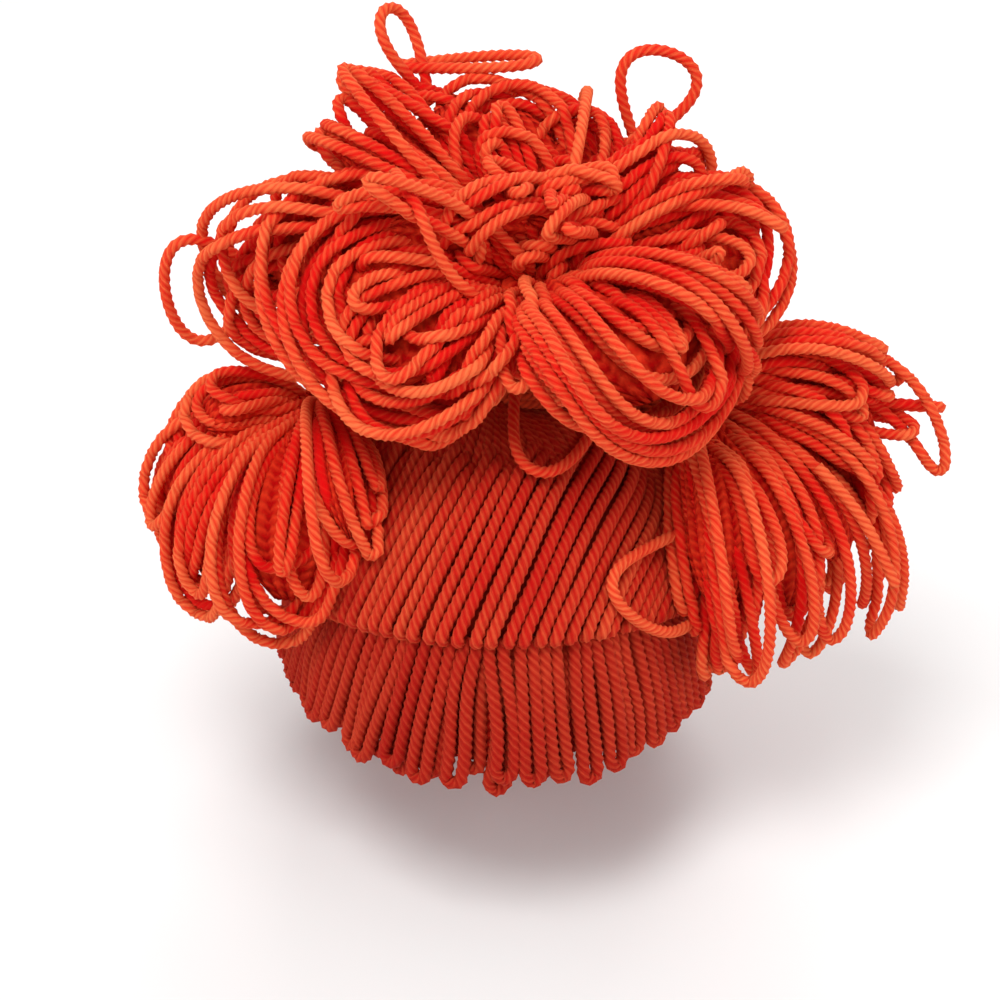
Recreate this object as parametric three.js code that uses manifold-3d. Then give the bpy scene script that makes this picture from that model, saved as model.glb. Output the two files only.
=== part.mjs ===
// A yarn wig: a crocheted cap, a layer of yarn strands over it, a looped fringe and a nape
// fringe hanging from its rim, one big tied mass of yarn loops on the crown and a tied bunch of
// loops on each side. Millimetres, +Z up, the front faces -Y.
// The origin is the inside of the cap at the crown, where the top of the head sits.
import * as THREE from "three";
import { mergeVertices } from "three/addons/utils/BufferGeometryUtils.js";
import Module from "manifold-3d";

const wasm = await Module();
wasm.setup();

// The head that the cap fits
const headHalfWidth = 69;
const headHalfLength = 87;
const crownHeight = 78; // from the crown down to where the head is widest
const foreheadTaper = 0.12; // how much narrower the head is in front than behind
const napeTuck = 0.1; // how fast the head draws in below its widest level

// The crocheted cap: how far below the crown its rim lies
const capWall = 3.5;
const capRimFront = 46;
const capRimSide = 72;
const capRimBack = 108;

// The strands that cover the cap
const strandLayer = 7;
const strandRidge = 1.2;
const strandCount = 26;

// The fringe tiers that hang from the rim
const fringeThickness = 7.5;
const fringeStandoff = 1;
const fringeFlare = 3.5; // how much further out the hem hangs than the roots
const fringeRidge = 1.2;
const fringeHemFront = 89;
const fringeHemTemple = 93;
const fringeHemSide = 99;
const fringeHemBack = 138;
const templeHeading = 45; // degrees from the front
const templeSpread = 22; // degrees over which the hem's rise at the temple fades
const frontFringeStrands = 26;
const napeFringeStrands = 18;
const fringeSweep = 100; // degrees each side of the front where the two tiers meet

// Ties: yarn wound round the neck of each bunch
const tieYarn = 4;
const tieTurns = 3;
const topNeckRadius = 11;
const sideNeckRadius = 8;
const topTieForward = -4; // the top tie sits this far in front of the crown
const topTieAcross = 12;
const sideTieHeading = 96; // degrees from the front, on each side
const sideTieArc = 42; // degrees down from the crown
const sideFootShare = 0.9; // how far out of the strand layer a side tie starts

// The heart of the top mass, which its bunches rest on. They all start inside it.
const heartRadius = 26;
const heartHeight = 36;
const bunchRootHeight = 12;
const footSink = 2.4; // how deep the top tie's foot is pressed into the strands

// Reach, width and depth of the locks of each bunch
const frontReach = 88;
const frontWidth = 72;
const frontDepth = 34;
const crestReach = 96;
const crestWidth = 40;
const crestDepth = 28;
const wingReach = 122;
const wingWidth = 40;
const wingDepth = 26;
const backReach = 92;
const backWidth = 60;
const backDepth = 32;
const sideReach = 98;
const sideWidth = 48;
const sideDepth = 28;

// Single yarn loops that stand out of the mass
const strayYarn = 4.2;
const strayLegs = 0.7; // half the distance between a loop's two ends, in yarn widths

// Clearance between pieces that touch
const gap = 0.35;

const columnsPerStrand = 2;
const capColumns = 32;
const domeRings = 7;
const fringeRings = 4;
const lockSides = 9;
const tieSides = 3;
const straySides = 6;
const straySteps = 12;
const neckSides = 12;
const heartSides = 18;

// Girth of a lock of loops along its length, from the tie to its rounded end
const LOCK_PROFILE = [
  { along: 0, girth: 0.28 },
  { along: 0.16, girth: 0.5 },
  { along: 0.36, girth: 0.82 },
  { along: 0.6, girth: 1 },
  { along: 0.8, girth: 0.9 },
  { along: 0.93, girth: 0.58 },
];

// Thickness of the strand layer from the crown to its rolled lower edge
const LAYER_PROFILE = [
  { along: 0, thick: 0.7 },
  { along: 0.5, thick: 0.95 },
  { along: 0.85, thick: 1.25 },
  { along: 1, thick: 0.8 },
];

// The heart's outline from its top down to where it narrows to the neck
const HEART_PROFILE = [
  { girth: 0, height: 1 },
  { girth: 0.6, height: 0.89 },
  { girth: 0.95, height: 0.67 },
  { girth: 1, height: 0.5 },
  { girth: 0.85, height: 0.2 },
];

// Thickness of a fringe tier from its roots to its looped hem
const FRINGE_PROFILE = [
  { along: 0, thick: 0.7 },
  { along: 0.35, thick: 1 },
  { along: 0.8, thick: 1 },
  { along: 1, thick: 0.62 },
];

// Locks of each bunch. heading is in degrees from the front towards +X, rise in degrees above
// level, reach, width and depth are shares of the bunch's own sizes, arch is the share of the
// lock's length by which its middle stands above a straight line, and roll turns its flat side.
const FRONT_LEFT = [
  { heading: -70, rise: 12, reach: 0.92, width: 1, depth: 1, arch: 0.16, roll: 62 },
  { heading: -55, rise: -11, reach: 0.92, width: 0.9, depth: 0.95, arch: 0.26, roll: 30 },
  { heading: -31, rise: -18, reach: 0.78, width: 0.6, depth: 0.85, arch: 0.36, roll: 10 },
  { heading: -77, rise: 29, reach: 0.9, width: 0.6, depth: 0.8, arch: 0.1, roll: 70 },
];
const FRONT_RIGHT = [
  { heading: 43, rise: -18, reach: 0.84, width: 0.9, depth: 1, arch: 0.32, roll: -20 },
  { heading: 15, rise: -21, reach: 0.73, width: 0.7, depth: 0.9, arch: 0.4, roll: 0 },
  { heading: 64, rise: -1, reach: 0.9, width: 0.85, depth: 0.9, arch: 0.2, roll: -45 },
];
const UPPER_RIGHT = [
  { heading: 95, rise: 5, reach: 0.91, width: 0.95, depth: 1, arch: 0.12, roll: -45 },
  { heading: 102, rise: 21, reach: 0.86, width: 0.95, depth: 1, arch: 0.1, roll: -60 },
  { heading: 116, rise: 36, reach: 0.87, width: 0.85, depth: 1, arch: 0.06, roll: -60 },
];
const CREST_LEFT = [
  { heading: -108, rise: 33, reach: 1.02, width: 0.8, depth: 0.9, arch: 0.06, roll: 40 },
  { heading: -121, rise: 41, reach: 1.07, width: 0.85, depth: 0.9, arch: 0.06, roll: 20 },
  { heading: -143, rise: 48, reach: 1.02, width: 0.95, depth: 1, arch: 0.05, roll: 0 },
];
const CREST_RIGHT = [
  { heading: -168, rise: 50, reach: 0.92, width: 0.95, depth: 1, arch: 0.05, roll: 0 },
  { heading: 162, rise: 46, reach: 0.83, width: 0.95, depth: 1, arch: 0.05, roll: 0 },
  { heading: 138, rise: 42, reach: 0.82, width: 0.9, depth: 1, arch: 0.06, roll: -20 },
];
const UPPER_LEFT = [
  { heading: -95, rise: 1, reach: 0.94, width: 0.95, depth: 1, arch: 0.06, roll: 75 },
  { heading: -99, rise: 12, reach: 0.91, width: 1, depth: 1, arch: 0.06, roll: 80 },
  { heading: -105, rise: 24, reach: 0.86, width: 0.95, depth: 1, arch: 0.05, roll: 70 },
];
const BACK = [
  { heading: 180, rise: -34, reach: 1.08, width: 1, depth: 1, arch: 0.32, roll: 0 },
  { heading: 140, rise: -30, reach: 1.02, width: 0.95, depth: 1, arch: 0.3, roll: 0 },
  { heading: -140, rise: -30, reach: 1.04, width: 0.95, depth: 1, arch: 0.3, roll: 0 },
  { heading: -178, rise: 16, reach: 0.88, width: 0.95, depth: 1, arch: 0.14, roll: 0 },
];
const LEFT_SIDE = [
  { heading: -86, rise: -33, reach: 0.68, width: 0.8, depth: 1, arch: 0.18, roll: 40 },
  { heading: -78, rise: -50, reach: 0.86, width: 0.85, depth: 1, arch: 0.22, roll: 30 },
  { heading: -46, rise: -57, reach: 0.86, width: 0.9, depth: 1, arch: 0.26, roll: 10 },
  { heading: -6, rise: -47, reach: 0.86, width: 0.9, depth: 0.9, arch: 0.26, roll: -20 },
  { heading: 13, rise: -17, reach: 0.92, width: 0.6, depth: 0.7, arch: 0.2, roll: -60 },
];
const RIGHT_SIDE = [
  { heading: 88, rise: -2, reach: 0.91, width: 0.45, depth: 0.7, arch: 0.15, roll: -30 },
  { heading: 84, rise: -18, reach: 0.81, width: 0.7, depth: 1, arch: 0.22, roll: -50 },
  { heading: 77, rise: -34, reach: 0.86, width: 0.75, depth: 1, arch: 0.24, roll: -40 },
  { heading: 59, rise: -47, reach: 0.94, width: 0.8, depth: 1, arch: 0.26, roll: -20 },
  { heading: 32, rise: -51, reach: 0.97, width: 0.85, depth: 1, arch: 0.28, roll: 0 },
  { heading: 9, rise: -43, reach: 0.97, width: 0.7, depth: 0.8, arch: 0.26, roll: 20 },
];

// Single loops that stand clear of a bunch. The foot of each lies along its heading and rise
// from the bunch's root; toward and lift give the direction in which it stands out. start and
// length are shares of the bunch's reach, width of the loop's length, lean turns its flat side.
const STRAYS = {
  crest_left_bunch: [
    { heading: -142, rise: 46, start: 0.94, toward: -110, lift: 63, length: 0.27, width: 0.4, lean: -15 },
    { heading: -146, rise: 46, start: 0.99, toward: 87, lift: 4, length: 0.39, width: 0.2, lean: 0 },
  ],
  crest_right_bunch: [
    { heading: 140, rise: 42, start: 0.76, toward: 115, lift: 71, length: 0.3, width: 0.75, lean: 70 },
  ],
  upper_left_bunch: [
    { heading: -99, rise: 5, start: 0.75, toward: -83, lift: -6, length: 0.27, width: 1, lean: 90 },
  ],
};

const radians = THREE.MathUtils.degToRad;
const up = new THREE.Vector3(0, 0, 1);

// Straight-line reading of a table at a share from 0 to 1.
function readTable(table, along, column) {
  const next = table.findIndex((row) => row.along >= along);
  if (next <= 0) return table[next < 0 ? table.length - 1 : 0][column];
  const a = table[next - 1];
  const b = table[next];
  const share = (along - a.along) / (b.along - a.along);
  return a[column] + share * (b[column] - a[column]);
}

// A point outside the head by offset: azimuth is counted from the front towards +X, arc down
// from the crown. Below its widest level the head goes straight down and draws in a little.
function headPoint(azimuth, arc, offset) {
  const quarter = Math.PI / 2;
  const below = Math.max(arc - quarter, 0);
  const round = arc < quarter ? Math.sin(arc) : 1 - napeTuck * below * below;
  const drop = arc < quarter ? Math.cos(arc) : -below;
  const across = (headHalfWidth + offset) * (1 - foreheadTaper * Math.cos(azimuth));
  return new THREE.Vector3(
    across * round * Math.sin(azimuth),
    -(headHalfLength + offset) * round * Math.cos(azimuth),
    (crownHeight + offset) * drop - crownHeight,
  );
}

// The arc at which the head's surface lies at a depth below the crown.
function arcAtDepth(depth) {
  const drop = depth / crownHeight;
  return drop < 1 ? Math.acos(1 - drop) : Math.PI / 2 + drop - 1;
}

// A level that runs smoothly from the front over the sides to the back.
function levelAround(azimuth, front, side, back) {
  const mean = (front + back) / 4 + side / 2;
  const tilt = (front - back) / 2;
  const sideDip = (front + back) / 4 - side / 2;
  return mean + tilt * Math.cos(azimuth) + sideDip * Math.cos(2 * azimuth);
}

function rimDepth(azimuth) {
  return levelAround(azimuth, capRimFront, capRimSide, capRimBack);
}

// The hem has a depth of its own at the temples and then drops to the nape.
function hemDepth(azimuth) {
  const plain = levelAround(azimuth, fringeHemFront, fringeHemSide, fringeHemBack);
  const temple = radians(templeHeading);
  const rise = levelAround(temple, fringeHemFront, fringeHemSide, fringeHemBack) - fringeHemTemple;
  const nearTemple = Math.exp(-(((Math.abs(azimuth) - temple) / radians(templeSpread)) ** 2));
  return plain - rise * nearTemple;
}

// Closed mesh through rings of points of one length. Each end closes on a single point, or,
// where the ring is a thin wall's outline, straight across the wall.
function skin(rings, start, end) {
  const points = rings.flat();
  const count = rings[0].length;
  const faces = [];
  for (let r = 0; r + 1 < rings.length; r++) {
    for (let i = 0; i < count; i++) {
      const a = r * count + i;
      const b = r * count + ((i + 1) % count);
      faces.push([a, b, b + count], [a, b + count, a + count]);
    }
  }
  const last = (rings.length - 1) * count;
  if (start === "wall") {
    for (let i = 0; i + 1 < count / 2; i++) {
      const j = count - 1 - i;
      faces.push([i, j, j - 1], [i, j - 1, i + 1]);
      faces.push([last + i, last + j - 1, last + j], [last + i, last + i + 1, last + j - 1]);
    }
  } else {
    points.push(start, end);
    for (let i = 0; i < count; i++) {
      const j = (i + 1) % count;
      faces.push([points.length - 2, j, i], [points.length - 1, last + i, last + j]);
    }
  }
  return solidFrom(points, faces);
}

// A manifold solid from points and triangles, turned so that its faces point out.
function solidFrom(points, faces) {
  const flat = new Float32Array(points.flatMap((p) => [p.x, p.y, p.z]));
  const solid = new wasm.Manifold(
    new wasm.Mesh({
      numProp: 3,
      vertProperties: flat,
      triVerts: new Uint32Array(faces.flat()),
    }),
  );
  if (solid.volume() > 0) return solid;
  return solidFrom(
    points,
    faces.map(([a, b, c]) => [a, c, b]),
  );
}

// A solid from a closed three.js geometry.
function solidFromGeometry(geometry) {
  geometry.deleteAttribute("normal");
  geometry.deleteAttribute("uv");
  const merged = mergeVertices(geometry, 1e-3);
  const position = merged.getAttribute("position");
  const points = [];
  for (let i = 0; i < position.count; i++) {
    points.push(new THREE.Vector3().fromBufferAttribute(position, i));
  }
  const index = [...merged.index.array];
  const faces = [];
  for (let i = 0; i < index.length; i += 3) faces.push(index.slice(i, i + 3));
  return solidFrom(points, faces);
}

// Rings of the head's surface from the crown to a depth, at an offset that may change.
function domeSurface(columns, depthAt, offsetAt, shares) {
  return shares.map((along) =>
    Array.from({ length: columns }, (_, column) => {
      const azimuth = (column / columns) * 2 * Math.PI;
      const signed = azimuth > Math.PI ? azimuth - 2 * Math.PI : azimuth;
      const arc = along * arcAtDepth(depthAt(signed));
      return headPoint(signed, arc, offsetAt(column, along));
    }),
  );
}

const domeShares = Array.from({ length: domeRings }, (_, i) => (i + 1) / domeRings);

// A dome-shaped wall between two offsets, open at the bottom.
function domeWall(columns, depthAt, innerAt, outerAt) {
  const outer = domeSurface(columns, depthAt, outerAt, domeShares);
  const inner = domeSurface(columns, depthAt, innerAt, domeShares).reverse();
  return skin([...outer, ...inner], headPoint(0, 0, outerAt(0, 0)), headPoint(0, 0, innerAt(0, 0)));
}

// The same dome filled in, to cut what rests on it.
function domeBlock(columns, depthAt, outerAt, floorDepth) {
  const outer = domeSurface(columns, depthAt, outerAt, domeShares);
  return skin(outer, headPoint(0, 0, outerAt(0, 0)), new THREE.Vector3(0, 0, -floorDepth));
}

const layerInner = capWall + gap;
const layerColumns = strandCount * columnsPerStrand;

// The outer face of the strand layer, ribbed by its strands and smooth at the crown.
function layerOuter(column, along) {
  const thick = strandLayer * readTable(LAYER_PROFILE, along, "thick");
  const ridge = column % columnsPerStrand ? 0 : strandRidge * Math.min(1, 2 * along);
  return layerInner + thick + ridge;
}

// A curtain of strands round part of the rim, lofted through its upright sections. With grow it
// is larger on every side and has no valleys, to cut what hangs against it.
function fringeTier(startAzimuth, endAzimuth, strands, grow) {
  const columns = grow ? strands : strands * columnsPerStrand;
  const edge = grow / headHalfLength;
  const shares = Array.from({ length: fringeRings }, (_, i) => i / (fringeRings - 1));
  const rings = [];
  for (let column = 0; column <= columns; column++) {
    const share = column / columns;
    const azimuth = startAzimuth - edge + share * (endAzimuth - startAzimuth + 2 * edge);
    const signed = Math.atan2(Math.sin(azimuth), Math.cos(azimuth));
    const valley = !grow && column % columnsPerStrand === 1;
    const top = arcAtDepth(rimDepth(signed) + gap - grow);
    const hem = arcAtDepth(hemDepth(signed) + grow - (valley ? fringeRidge : 0));
    const point = (along, extra) => {
      const offset = fringeStandoff + fringeFlare * along * along + extra;
      return headPoint(signed, top + along * (hem - top), offset);
    };
    const ridge = valley ? 0 : fringeRidge;
    const thick = (along) => fringeThickness * readTable(FRINGE_PROFILE, along, "thick");
    const outer = shares.map((along) => point(along, thick(along) + ridge + grow));
    const inner = shares.map((along) => point(along, -grow)).reverse();
    rings.push([...outer, ...inner]);
  }
  return skin(rings, "wall");
}

// The centre line of a lock and the directions across it, at a share of its length.
function lockFrame(root, lock, reach, along) {
  const heading = radians(lock.heading);
  const rise = radians(lock.rise);
  const chord = new THREE.Vector3(
    Math.sin(heading) * Math.cos(rise),
    -Math.cos(heading) * Math.cos(rise),
    Math.sin(rise),
  );
  const lift = up.clone().addScaledVector(chord, -chord.z).normalize();
  const length = reach * lock.reach;
  const arch = 4 * lock.arch * length;
  const centre = root
    .clone()
    .addScaledVector(chord, length * along)
    .addScaledVector(lift, arch * along * (1 - along));
  const tangent = chord
    .clone()
    .multiplyScalar(length)
    .addScaledVector(lift, arch * (1 - 2 * along))
    .normalize();
  const side = chord.clone().cross(lift).applyAxisAngle(chord, radians(lock.roll));
  side.addScaledVector(tangent, -side.dot(tangent)).normalize();
  return { centre, tangent, side, face: side.clone().cross(tangent) };
}

// One lock of loops: elliptical sections along an arched centre line, closed by a round end.
function lockSolid(root, lock, size, grow) {
  const halfWidth = (size.width * lock.width) / 2;
  const halfDepth = (size.depth * lock.depth) / 2;
  const rings = LOCK_PROFILE.map(({ along, girth }) => {
    const { centre, side, face } = lockFrame(root, lock, size.reach, along);
    return Array.from({ length: lockSides }, (_, i) => {
      const turn = (i / lockSides) * 2 * Math.PI;
      return centre
        .clone()
        .addScaledVector(side, (halfWidth * girth + grow) * Math.cos(turn))
        .addScaledVector(face, (halfDepth * girth + grow) * Math.sin(turn));
    });
  });
  const first = lockFrame(root, lock, size.reach, 0);
  const last = lockFrame(root, lock, size.reach, 1);
  const base = first.centre.addScaledVector(first.tangent, -grow - gap);
  const tip = last.centre.addScaledVector(last.tangent, grow);
  return skin(rings, base, tip);
}

// A single yarn loop: out along its heading and back, its two ends side by side in the bunch.
function straySolid(root, stray, reach, grow) {
  const { heading, rise, start, toward, lift, lean } = stray;
  const foot = lockFrame(root, { heading, rise, reach: 1, arch: 0, roll: 0 }, reach, start).centre;
  const out = { heading: toward, rise: lift, reach: stray.length, arch: 0, roll: lean };
  const first = lockFrame(foot, out, reach, 0);
  const length = stray.length * reach;
  const legs = strayYarn * strayLegs;
  const points = Array.from({ length: straySteps + 1 }, (_, i) => {
    const turn = (i / straySteps) * Math.PI;
    const across = legs * Math.cos(turn) + (stray.width * length * Math.sin(2 * turn)) / 2;
    return first.centre
      .clone()
      .addScaledVector(first.tangent, length * Math.sin(turn))
      .addScaledVector(first.side, across);
  });
  const section = new THREE.Shape();
  section.absarc(0, 0, strayYarn / 2 + grow, 0, 2 * Math.PI);
  const path = new THREE.CatmullRomCurve3(points);
  const extrude = { steps: straySteps, curveSegments: straySides / 2, extrudePath: path };
  return solidFromGeometry(new THREE.ExtrudeGeometry(section, { ...extrude, bevelEnabled: false }));
}

// A tie: a few turns of yarn wound side by side round a neck, its underside at z = 0.
function tieSolid(neckRadius, grow) {
  const yarn = tieYarn / 2;
  const top = tieTurns * tieYarn + grow;
  const hole = neckRadius / Math.cos(Math.PI / neckSides) + gap;
  const profile = [];
  for (let turn = 0; turn < tieTurns; turn++) {
    for (let i = 0; i < tieSides; i++) {
      const angle = (i / tieSides - 0.5) * Math.PI;
      const reach = (yarn + grow) * Math.cos(angle);
      const height = yarn * (1 + 2 * turn + Math.sin(angle));
      profile.push(new THREE.Vector2(hole + yarn + reach, height));
    }
  }
  profile.push(new THREE.Vector2(hole + yarn, top));
  profile.push(new THREE.Vector2(hole - grow, top), new THREE.Vector2(hole - grow, 0));
  profile.push(profile[0].clone());
  return solidFromGeometry(new THREE.LatheGeometry(profile, neckSides).rotateX(Math.PI / 2));
}
const tieHeight = tieTurns * tieYarn;

// A solid moved from z = 0 to stand on the strand layer along a direction.
function standAt(solid, foot, direction) {
  const turn = new THREE.Quaternion().setFromUnitVectors(up, direction);
  const matrix = new THREE.Matrix4().compose(foot, turn, new THREE.Vector3(1, 1, 1));
  return solid.transform(matrix.elements);
}

function union(solids) {
  return solids.reduce((a, b) => a.add(b));
}

// The biggest connected body of a solid: what a neighbour's cut leaves over is trimmed.
function mainBody(solid) {
  return solid.decompose().reduce((a, b) => (a.volume() > b.volume() ? a : b));
}

const cap = domeWall(
  capColumns,
  rimDepth,
  () => 0,
  () => capWall,
);
const strandCover = domeWall(layerColumns, rimDepth, () => layerInner, layerOuter);

const sweep = radians(fringeSweep);
const tierGap = gap / headHalfWidth;
const frontTier = (grow) => fringeTier(-sweep, sweep, frontFringeStrands, grow);
const napeTier = (grow) =>
  fringeTier(sweep + tierGap, 2 * Math.PI - sweep - tierGap, napeFringeStrands, grow);

// What the bunches rest on: the covered cap with its hollow filled, and the two fringes.
const floorDepth = fringeHemBack + crownHeight;
const layerCrest = (_, along) => layerOuter(0, along) + gap;
const covered = domeBlock(strandCount, rimDepth, layerCrest, floorDepth);
const worn = union([covered, frontTier(gap), napeTier(gap)]);

// The top tie stands upright in front of the crown, its neck foot on the strand layer.
const coverTop = layerInner + strandLayer * LAYER_PROFILE[0].thick;
const topFoot = new THREE.Vector3(topTieAcross, topTieForward, coverTop - footSink);
const heartFoot = topFoot.z + tieHeight + footSink;
const topRoot = new THREE.Vector3(topTieAcross, topTieForward, heartFoot + bunchRootHeight);

// The heart: a rounded lump on a neck that passes down through the tie.
function heartSolid(grow) {
  const profile = HEART_PROFILE.map(({ girth, height }) => {
    const lift = height < 0.5 ? -grow : grow;
    return new THREE.Vector2(girth * heartRadius + grow, heartFoot + height * heartHeight + lift);
  });
  profile[0].x = 0;
  profile.push(
    new THREE.Vector2(topNeckRadius, heartFoot + gap - grow),
    new THREE.Vector2(topNeckRadius, topFoot.z),
    new THREE.Vector2(0, topFoot.z),
  );
  const lathe = new THREE.LatheGeometry(profile.reverse(), heartSides).rotateX(Math.PI / 2);
  return solidFromGeometry(lathe.translate(topFoot.x, topFoot.y, 0));
}

// A side tie stands square to the strand layer.
function sidePlace(sign) {
  const azimuth = sign * radians(sideTieHeading);
  const arc = radians(sideTieArc);
  const foot = headPoint(azimuth, arc, layerInner + strandLayer * sideFootShare);
  const inner = headPoint(azimuth, arc, 0);
  const direction = foot.clone().sub(inner).normalize();
  return { foot, direction, root: foot.clone().addScaledVector(direction, tieHeight + gap) };
}

function sideTie(sign, grow) {
  const { foot, direction } = sidePlace(sign);
  return standAt(tieSolid(sideNeckRadius, grow), foot, direction);
}

function sideNeck(sign) {
  const { foot, direction } = sidePlace(sign);
  const length = tieHeight + 4 * gap;
  const neck = new THREE.CylinderGeometry(sideNeckRadius, sideNeckRadius, length, neckSides);
  neck.rotateX(Math.PI / 2).translate(0, 0, length / 2);
  return standAt(solidFromGeometry(neck), foot, direction);
}

const topTie = standAt(tieSolid(topNeckRadius, 0), topFoot, up).subtract(worn);
const topTieBlock = standAt(tieSolid(topNeckRadius, gap), topFoot, up);
const heart = heartSolid(0).subtract(worn);

const frontSize = { reach: frontReach, width: frontWidth, depth: frontDepth };
const crestSize = { reach: crestReach, width: crestWidth, depth: crestDepth };
const wingSize = { reach: wingReach, width: wingWidth, depth: wingDepth };
const backSize = { reach: backReach, width: backWidth, depth: backDepth };
const sideSize = { reach: sideReach, width: sideWidth, depth: sideDepth };
const leftRoot = sidePlace(-1).root;
const rightRoot = sidePlace(1).root;

function bunchSolid({ name, root, locks, size }, grow) {
  const strays = STRAYS[name] ?? [];
  return union([
    ...locks.map((lock) => lockSolid(root, lock, size, grow)),
    ...strays.map((stray) => straySolid(root, stray, size.reach, grow)),
  ]);
}

// Bunches in the order in which they lie on top of each other. Each is cut back from those
// before it and from what it rests on.
const bunches = [
  { name: "front_right_bunch", root: topRoot, locks: FRONT_RIGHT, size: frontSize },
  { name: "front_left_bunch", root: topRoot, locks: FRONT_LEFT, size: frontSize },
  { name: "upper_right_bunch", root: topRoot, locks: UPPER_RIGHT, size: crestSize },
  { name: "upper_left_bunch", root: topRoot, locks: UPPER_LEFT, size: wingSize },
  { name: "crest_left_bunch", root: topRoot, locks: CREST_LEFT, size: crestSize },
  { name: "crest_right_bunch", root: topRoot, locks: CREST_RIGHT, size: crestSize },
  { name: "back_bunch", root: topRoot, locks: BACK, size: backSize },
  { name: "right_side_bunch", root: rightRoot, locks: RIGHT_SIDE, size: sideSize, side: 1 },
  { name: "left_side_bunch", root: leftRoot, locks: LEFT_SIDE, size: sideSize, side: -1 },
];

const yarnOrange = 0xe8491c;
const yarnDeep = 0xc93a16;
const tieOrange = 0xb93212;

// A three.js mesh from a finished solid.
function meshFrom(name, solid, color) {
  const made = solid.getMesh();
  const position = new Float32Array(made.numVert * 3);
  for (let i = 0; i < made.numVert; i++) {
    const at = i * made.numProp;
    position.set(made.vertProperties.subarray(at, at + 3), i * 3);
  }
  const geometry = new THREE.BufferGeometry();
  geometry.setAttribute("position", new THREE.BufferAttribute(position, 3));
  geometry.setIndex(new THREE.BufferAttribute(made.triVerts, 1));
  const yarn = new THREE.MeshStandardMaterial({ color, roughness: 0.95, metalness: 0 });
  const mesh = new THREE.Mesh(geometry, yarn);
  mesh.name = name;
  return mesh;
}

const wig = new THREE.Group();
wig.name = "yarn_wig";
wig.add(meshFrom("crochet_cap", cap, yarnDeep));
wig.add(meshFrom("strand_cover", strandCover, yarnOrange));
wig.add(meshFrom("front_fringe", frontTier(0), yarnDeep));
wig.add(meshFrom("nape_fringe", napeTier(0), yarnDeep));
wig.add(meshFrom("top_tie", mainBody(topTie), tieOrange));
wig.add(meshFrom("knot_heart", mainBody(heart), yarnDeep));

const sideTies = [-1, 1].map((sign) => mainBody(sideTie(sign, 0).subtract(worn)));
wig.add(meshFrom("left_tie", sideTies[0], tieOrange));
wig.add(meshFrom("right_tie", sideTies[1], tieOrange));

const placed = [worn, topTieBlock, heartSolid(gap), sideTie(-1, gap), sideTie(1, gap)];
for (const bunch of bunches) {
  let solid = placed.reduce((a, b) => a.subtract(b), bunchSolid(bunch, 0));
  if (bunch.side) solid = solid.add(sideNeck(bunch.side).subtract(worn));
  wig.add(meshFrom(bunch.name, mainBody(solid), yarnOrange));
  placed.push(bunchSolid(bunch, gap));
}

export default wig;
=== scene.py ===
"""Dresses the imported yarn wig: every bunch, fringe and tie of the CAD part is laid again as real
plied yarn, strand by strand. Sizes in the script are millimetres until a mesh is made."""

import math

import bpy
import numpy as np
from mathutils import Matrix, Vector


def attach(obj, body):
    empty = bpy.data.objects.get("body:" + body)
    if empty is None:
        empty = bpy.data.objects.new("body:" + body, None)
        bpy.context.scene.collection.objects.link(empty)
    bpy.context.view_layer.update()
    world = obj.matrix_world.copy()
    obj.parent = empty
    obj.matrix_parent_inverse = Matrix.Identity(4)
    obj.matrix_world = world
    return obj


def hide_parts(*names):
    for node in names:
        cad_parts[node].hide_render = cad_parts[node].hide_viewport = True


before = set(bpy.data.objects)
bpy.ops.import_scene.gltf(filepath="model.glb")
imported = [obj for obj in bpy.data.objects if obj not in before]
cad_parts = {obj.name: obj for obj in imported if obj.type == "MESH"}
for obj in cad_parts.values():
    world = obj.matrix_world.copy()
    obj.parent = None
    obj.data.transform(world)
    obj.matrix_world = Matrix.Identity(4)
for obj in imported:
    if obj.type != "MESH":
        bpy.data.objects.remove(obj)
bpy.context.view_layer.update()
MM = 0.001

# The camera stands in front of the wig and looks 30 degrees down on it, as in the photograph.
# Its distance is in metres, and the picture keeps the colours as they are lit.
LOOK_AT = Vector((0, 0, -37.4)) * MM
LOOK_DOWN = math.radians(30)
LOOK_FROM = 0.8
LENS_WIDTH = 36
LENS_LENGTH = 83.48


def put_in_scene(name, data):
    """An object that shows the data, linked to the scene."""
    made = bpy.data.objects.new(name, data)
    bpy.context.scene.collection.objects.link(made)
    return made


def aim(thing):
    """Turns a camera or a lamp towards the middle of the wig."""
    thing.rotation_euler = (LOOK_AT - thing.location).to_track_quat("-Z", "Y").to_euler()


lens = bpy.data.cameras.new("front_camera")
lens.sensor_width = LENS_WIDTH
lens.lens = LENS_LENGTH
lens.clip_start = 0.01
camera = put_in_scene("front_camera", lens)
camera.location = LOOK_AT + Vector((0, -math.cos(LOOK_DOWN), math.sin(LOOK_DOWN))) * LOOK_FROM
aim(camera)
bpy.context.scene.camera = camera
bpy.context.scene.view_settings.view_transform = "Standard"


# The studio: a pale floor just below the nape fringe, one large soft light high in front, a
# weaker one at each side and one behind, and a white surround. Places are in metres.
FLOOR_HEIGHT = -152 * MM
FLOOR_HALF = 3.0
FLOOR_GREY = (0.86, 0.855, 0.85, 1)
LIGHTS = [
    {"place": (-0.3, -0.7, 1.4), "size": 0.7, "watts": 14},
    {"place": (1.1, -0.7, 0.5), "size": 0.8, "watts": 5},
    {"place": (-1.2, -0.4, 0.45), "size": 0.8, "watts": 4},
    {"place": (0.2, 1.1, 0.9), "size": 0.9, "watts": 9},
]
SURROUND_WHITE = (1, 1, 1, 1)
SURROUND_STRENGTH = 0.55
LOW_GLOSS = 0.08


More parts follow.
